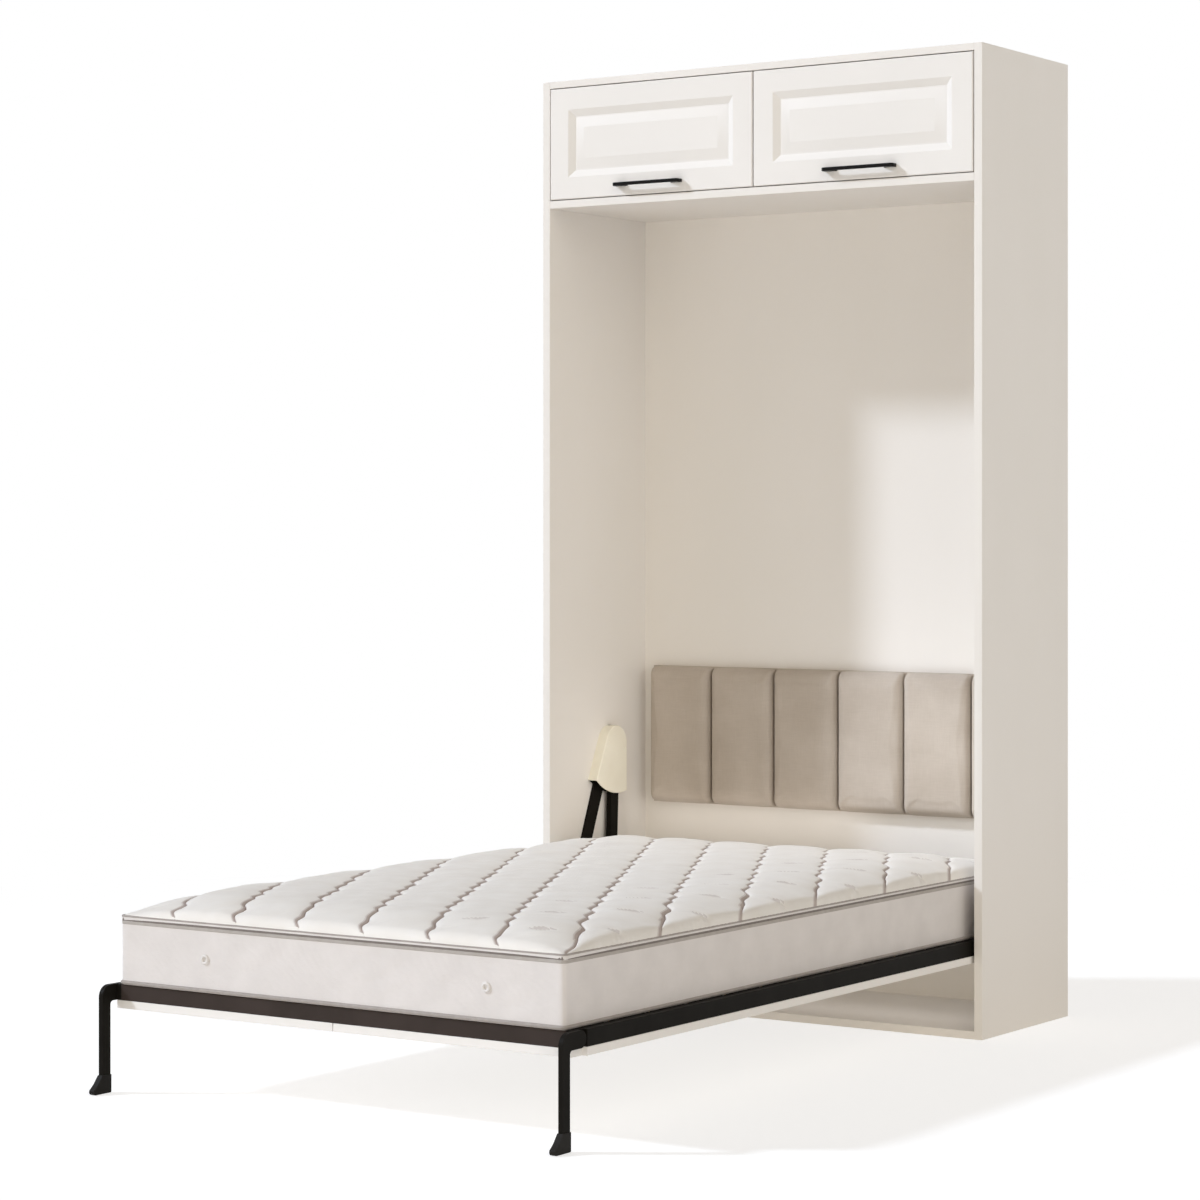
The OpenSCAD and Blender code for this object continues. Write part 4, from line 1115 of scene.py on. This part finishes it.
def lathe(name, profile, centre, axis_y, sides=32):
    """Turns (radius, height) about a line along -Y through the centre."""
    points = []
    for r, h in profile:
        for s in range(sides):
            a = 2 * math.pi * s / sides
            points.append((centre[0] + r * math.cos(a), axis_y - h, centre[1] + r * math.sin(a)))
    faces = ring_faces(len(profile), sides, False)
    faces.append(list(range(sides)))
    faces.append([(len(profile) - 1) * sides + s for s in range(sides)])
    obj = from_points(name, points, faces)
    smooth_by_angle(obj, 40)
    return obj


# Air vents in the foot side: places, how deep they are seated, and the profile as (radius, height)
VENT_XS = (-352, 402)
VENT_Z = 310
VENT_SEAT = 2.6
VENT_PROFILE = [(11.5, 0), (11.5, 1.6), (10.8, 3.2), (9.4, 4.2), (7.6, 4.4), (5.8, 3.8), (4.8, 2.4),
                (4.4, 0.6), (0.4, 0.6)]


def make_vents():
    for x in VENT_XS:
        name = "mattress_vent_" + ("left" if x < 0 else "right")
        obj = lathe(name, VENT_PROFILE, (x, VENT_Z), FOOT_Y + VENT_SEAT)
        finish_knit(obj, [VENT])


make_mattress()
make_vents()


# Headboard

PADS = 6
PAD_FRONT, PAD_SEAT = span("headboard_pad_1", 1)
PAD_Z0, PAD_Z1 = span("headboard_pad_1", 2)
# How much smaller the form is than its pad in width, height and depth, so that it can swell
PAD_ROOM = (6.0, 3.0, 4.0)
# Radius of the roll along the sides and at the ends, and the least depth at the rim
SIDE_ROLL = 15
END_ROLL = 26
LEAST_DEPTH = 2.0
# Distances of columns and rows from the rim, and their pitch further in
PAD_COLUMNS = [0, 0.6, 1.8, 3.8, 6.6, 10, 15, 21]
PAD_ROWS = [0, 0.8, 2.4, 5, 9, 14, 20, 28]
PAD_PITCH = (12, 14)
# The cloth: size of its cells, the furthest that a point may swell, the part at the back that is held,
# and its settings
CLOTH_CELL = 5.0
CLOTH_CAP = 1.6
HELD = 3
CLOTH = {
    "quality": 6, "mass": 0.3, "tension_stiffness": 18, "compression_stiffness": 18,
    "shear_stiffness": 8, "bending_stiffness": 0.8, "use_pressure": True,
    "uniform_pressure_force": 1.6, "vertex_group_mass": "held",
}
# Least gap between a pad's side and its limits, and how far its front may stand over the CAD front
SIDE_GAP = 2.4
FRONT_OVER = 2.0
# Unevenness of the stuffing
BROAD_WAVE = 0.7
FINE_WAVE = 0.4
WAVE_SHARE = 0.8


def roll(gap, radius):
    """How far a stuffed front drops back at this distance from its edge."""
    return 0.0 if gap >= radius else radius - math.sqrt(radius ** 2 - (radius - gap) ** 2)


def pad_form(width, height, depth):
    """A stuffed channel, centred, its back on y = 0. Its ends roll back further than its sides."""
    xs = [d - width / 2 for d in steps_over(width, PAD_COLUMNS, PAD_PITCH[0])]
    zs = [d - height / 2 for d in steps_over(height, PAD_ROWS, PAD_PITCH[1])]
    points = []
    for z in zs:
        for x in xs:
            drop = roll(width / 2 - abs(x), SIDE_ROLL) + roll(height / 2 - abs(z), END_ROLL)
            points.append((x, min(-LEAST_DEPTH, drop - depth), z))
    nx, nz = len(xs), len(zs)
    faces = [cell(i, j, nx) for j in range(nz - 1) for i in range(nx - 1)]
    rim = [j * nx + i for i, j in rim_of(nx, nz)]
    loop = rim
    for share in (0.7, 0.4, 0.0):
        ring = [(points[i][0], points[i][1] * share, points[i][2]) for i in rim]
        loop = draw_on(points, faces, loop, ring)
    faces.append(loop)
    return from_points("pad_form", points, faces)


def inflate(obj, frames=20):
    """Swells a closed form as stuffed cloth whose back is held, and limits each point's travel."""
    mod = obj.modifiers.new("remesh", "REMESH")
    mod.mode = "VOXEL"
    mod.voxel_size = CLOTH_CELL * MM
    mesh = evaluated_mesh(obj)
    obj.modifiers.remove(mod)
    obj.data = mesh
    start = np.array([v.co for v in mesh.vertices])
    group = obj.vertex_groups.new(name="held")
    group.add([i for i, p in enumerate(start) if p[1] > -HELD * MM], 1.0, "REPLACE")
    cloth = obj.modifiers.new("cloth", "CLOTH")
    for setting, value in CLOTH.items():
        setattr(cloth.settings, setting, value)
    cloth.settings.effector_weights.gravity = 0
    cloth.collision_settings.use_collision = False
    cloth.collision_settings.use_self_collision = False
    scene = bpy.context.scene
    for f in range(1, frames + 1):
        scene.frame_set(f)
    swollen = evaluated_mesh(obj)
    moved = np.array([v.co for v in swollen.vertices])
    obj.modifiers.remove(cloth)
    scene.frame_set(1)
    step = moved - start
    far = np.linalg.norm(step, axis=1, keepdims=True)
    step *= np.minimum(1, CLOTH_CAP * MM / np.maximum(far, 1e-9))
    mesh.vertices.foreach_set("co", (start + step).astype(np.float32).ravel())
    mesh.update()
    bpy.data.meshes.remove(swollen)


def make_pads():
    lo, hi = span("headboard_pad_1", 0)
    width, height, depth = hi - lo, PAD_Z1 - PAD_Z0, PAD_SEAT - PAD_FRONT
    form = pad_form(*(whole - room for whole, room in zip((width, height, depth), PAD_ROOM)))
    inflate(form)
    form.modifiers.new("fine", "SUBSURF").levels = 1
    base = evaluated_mesh(form)
    bpy.data.objects.remove(form)
    co = np.array([v.co for v in base.vertices]) / MM
    side = width / 2 - SIDE_GAP
    for index in range(1, PADS + 1):
        node = f"headboard_pad_{index}"
        x0, x1 = span(node, 0)
        p = co.copy()
        p[:, 0] = np.clip(p[:, 0], -side, side)
        p[:, 1] = np.clip(p[:, 1], -depth - FRONT_OVER, 0)
        p[:, 2] = np.clip(p[:, 2], -height / 2, height / 2)
        face = np.clip(-p[:, 1] / depth, 0, 1) ** 2
        wave = BROAD_WAVE * np.sin(p[:, 0] / 34 + index * 1.9) * np.sin(p[:, 2] / 58 + index * 2.7)
        wave += FINE_WAVE * np.sin(p[:, 2] / 23 + index) * np.sin(p[:, 0] / 19 - index)
        p[:, 1] += wave * face * WAVE_SHARE
        p += np.array([(x0 + x1) / 2, PAD_SEAT, (PAD_Z0 + PAD_Z1) / 2])
        mesh = base.copy()
        mesh.vertices.foreach_set("co", (p * MM).astype(np.float32).ravel())
        mesh.update()
        obj = new_object(f"headboard_channel_{index}", mesh)
        obj.data.shade_smooth()
        finish_piece(obj, "cabinet", [LINEN], [node])


make_pads()


# Stage, light and camera. Lengths here are in metres.

WHITE = (1, 1, 1, 1)
FLOOR_HALF = 30
FLOOR_Z = -0.0008
# The floor is seen round this place and fades to white between these two distances
FLOOR_MIDDLE = (0, -0.8, 0)
FADE_FROM = 1.6
FADE_TO = 4.0
CAMERA_PLACE = (4.2995, -7.3079, 1.2470)
CAMERA_TURN = 34
CAMERA_LENS = 97.42


def rays(nodes, *kinds):
    """1 for rays of these kinds and 0 for others."""
    path = nodes.add("LightPath")
    most = path.outputs[kinds[0]]
    for kind in kinds[1:]:
        most = nodes.maths("MAXIMUM", most, path.outputs[kind])
    return most


def glowing(nodes, colour, glow, strength):
    """A plain surface that gives some light of its own."""
    plain = nodes.made("BsdfDiffuse", {"Color": colour})
    own = nodes.made("Emission", {"Color": glow, "Strength": strength})
    return nodes.made("AddShader", {0: plain, 1: own})


def stage():
    """A floor that is pale where it is seen, and that glows with a warm painted light for the other rays.
    """
    bm = bmesh.new()
    bmesh.ops.create_grid(bm, x_segments=1, y_segments=1, size=FLOOR_HALF)
    for v in bm.verts:
        v.co.z = FLOOR_Z
    floor = from_bmesh("floor", bm)
    mat = bpy.data.materials.new("pale_floor")
    nodes = Nodes(mat)
    # Painted light: the floor glows for the rays that don't come from the camera
    painted_glow = glowing(nodes, (0.9, 0.89, 0.875, 1), (1.0, 0.97, 0.92, 1), 0.2)
    near = glowing(nodes, (0.52, 0.515, 0.51, 1), WHITE, 0.64)
    far = nodes.made("Emission", {"Color": WHITE, "Strength": 1.0})
    place = nodes.add("NewGeometry").outputs["Position"]
    distance = nodes.made("VectorMath", {0: place, 1: FLOOR_MIDDLE}, "Value",
                          operation="DISTANCE")
    fade = nodes.made("MapRange", {"Value": distance, "From Min": FADE_FROM, "From Max": FADE_TO},
                      "Result", interpolation_type="SMOOTHSTEP")
    seen = nodes.made("MixShader", {0: fade, 1: near, 2: far})
    direct = rays(nodes, "Is Camera Ray", "Is Glossy Ray")
    both = nodes.made("MixShader", {0: direct, 1: painted_glow, 2: seen})
    nodes.join(both, nodes.add("OutputMaterial").inputs["Surface"])
    floor.data.materials.append(mat)


def backdrop():
    """White where it is seen, and a soft warm light on the rest."""
    world = bpy.data.worlds.new("studio")
    bpy.context.scene.world = world
    nodes = Nodes(world)
    soft = nodes.made("Background", {"Color": (1.0, 0.93, 0.86, 1), "Strength": 0.335})
    white = nodes.made("Background", {"Color": WHITE, "Strength": 1.0})
    direct = rays(nodes, "Is Camera Ray", "Is Glossy Ray", "Is Transmission Ray")
    both = nodes.made("MixShader", {0: direct, 1: soft, 2: white})
    nodes.join(both, nodes.add("OutputWorld").inputs["Surface"])


def lamp(name, kind, power, colour, heading):
    """A lamp that shines along its heading. Returns its data and its object."""
    data = bpy.data.lights.new(name, kind)
    data.energy = power
    data.color = colour
    obj = new_object(name, data)
    obj.rotation_euler = Vector(heading).to_track_quat("-Z", "Y").to_euler()
    return data, obj


def sun(name, power, colour, angle, heading, shadow=True):
    data, _ = lamp(name, "SUN", power, colour, heading)
    data.angle = math.radians(angle)
    data.use_shadow = shadow


def card(name, power, colour, place, size, heading):
    """A soft card of light that isn't seen itself."""
    data, obj = lamp(name, "AREA", power, colour, heading)
    data.shape = "RECTANGLE"
    data.size, data.size_y = size
    obj.location = place
    obj.visible_camera = False
    obj.visible_glossy = False


def light():
    backdrop()
    sun("key", 2.36, (0.767, 0.856, 1), 5, (1.525, 1, -1.175))
    sun("side_fill", 0.66, (1, 0.953, 0.841), 50, (-1.8, 1, -1))
    sun("front_fill", 0.24, (1, 0.86, 0.6), 5, (0, 1, 0), shadow=False)
    card("head_bounce", 0.14, (1, 0.96, 0.92), (-0.25, 0.12, 0.452), (0.66, 0.06), (0, 1, 0.15))
    card("pad_bounce", 0.46, (0.9, 0.95, 1), (0.36, -0.1, 0.63), (0.46, 0.26), (0, 1, 0))
    card("wall_bounce", 0.1, (1, 0.98, 0.96), (-0.44, -0.06, 0.62), (0.24, 0.4), (-1, 0, 0))
    card("under_bounce", 0.2, (1, 0.97, 0.94), (0.12, -0.1, 0.13), (0.96, 0.15), (0, 0.15, -1))


def camera():
    data = bpy.data.cameras.new("camera")
    cam = new_object("camera", data)
    cam.location = CAMERA_PLACE
    cam.rotation_euler = (math.radians(90), 0, math.radians(CAMERA_TURN))
    data.sensor_width = 36
    data.lens = CAMERA_LENS
    data.shift_y = -0.06
    data.clip_end = 200
    bpy.context.scene.camera = cam


stage()
light()
camera()
bpy.context.scene.view_settings.view_transform = "Standard"
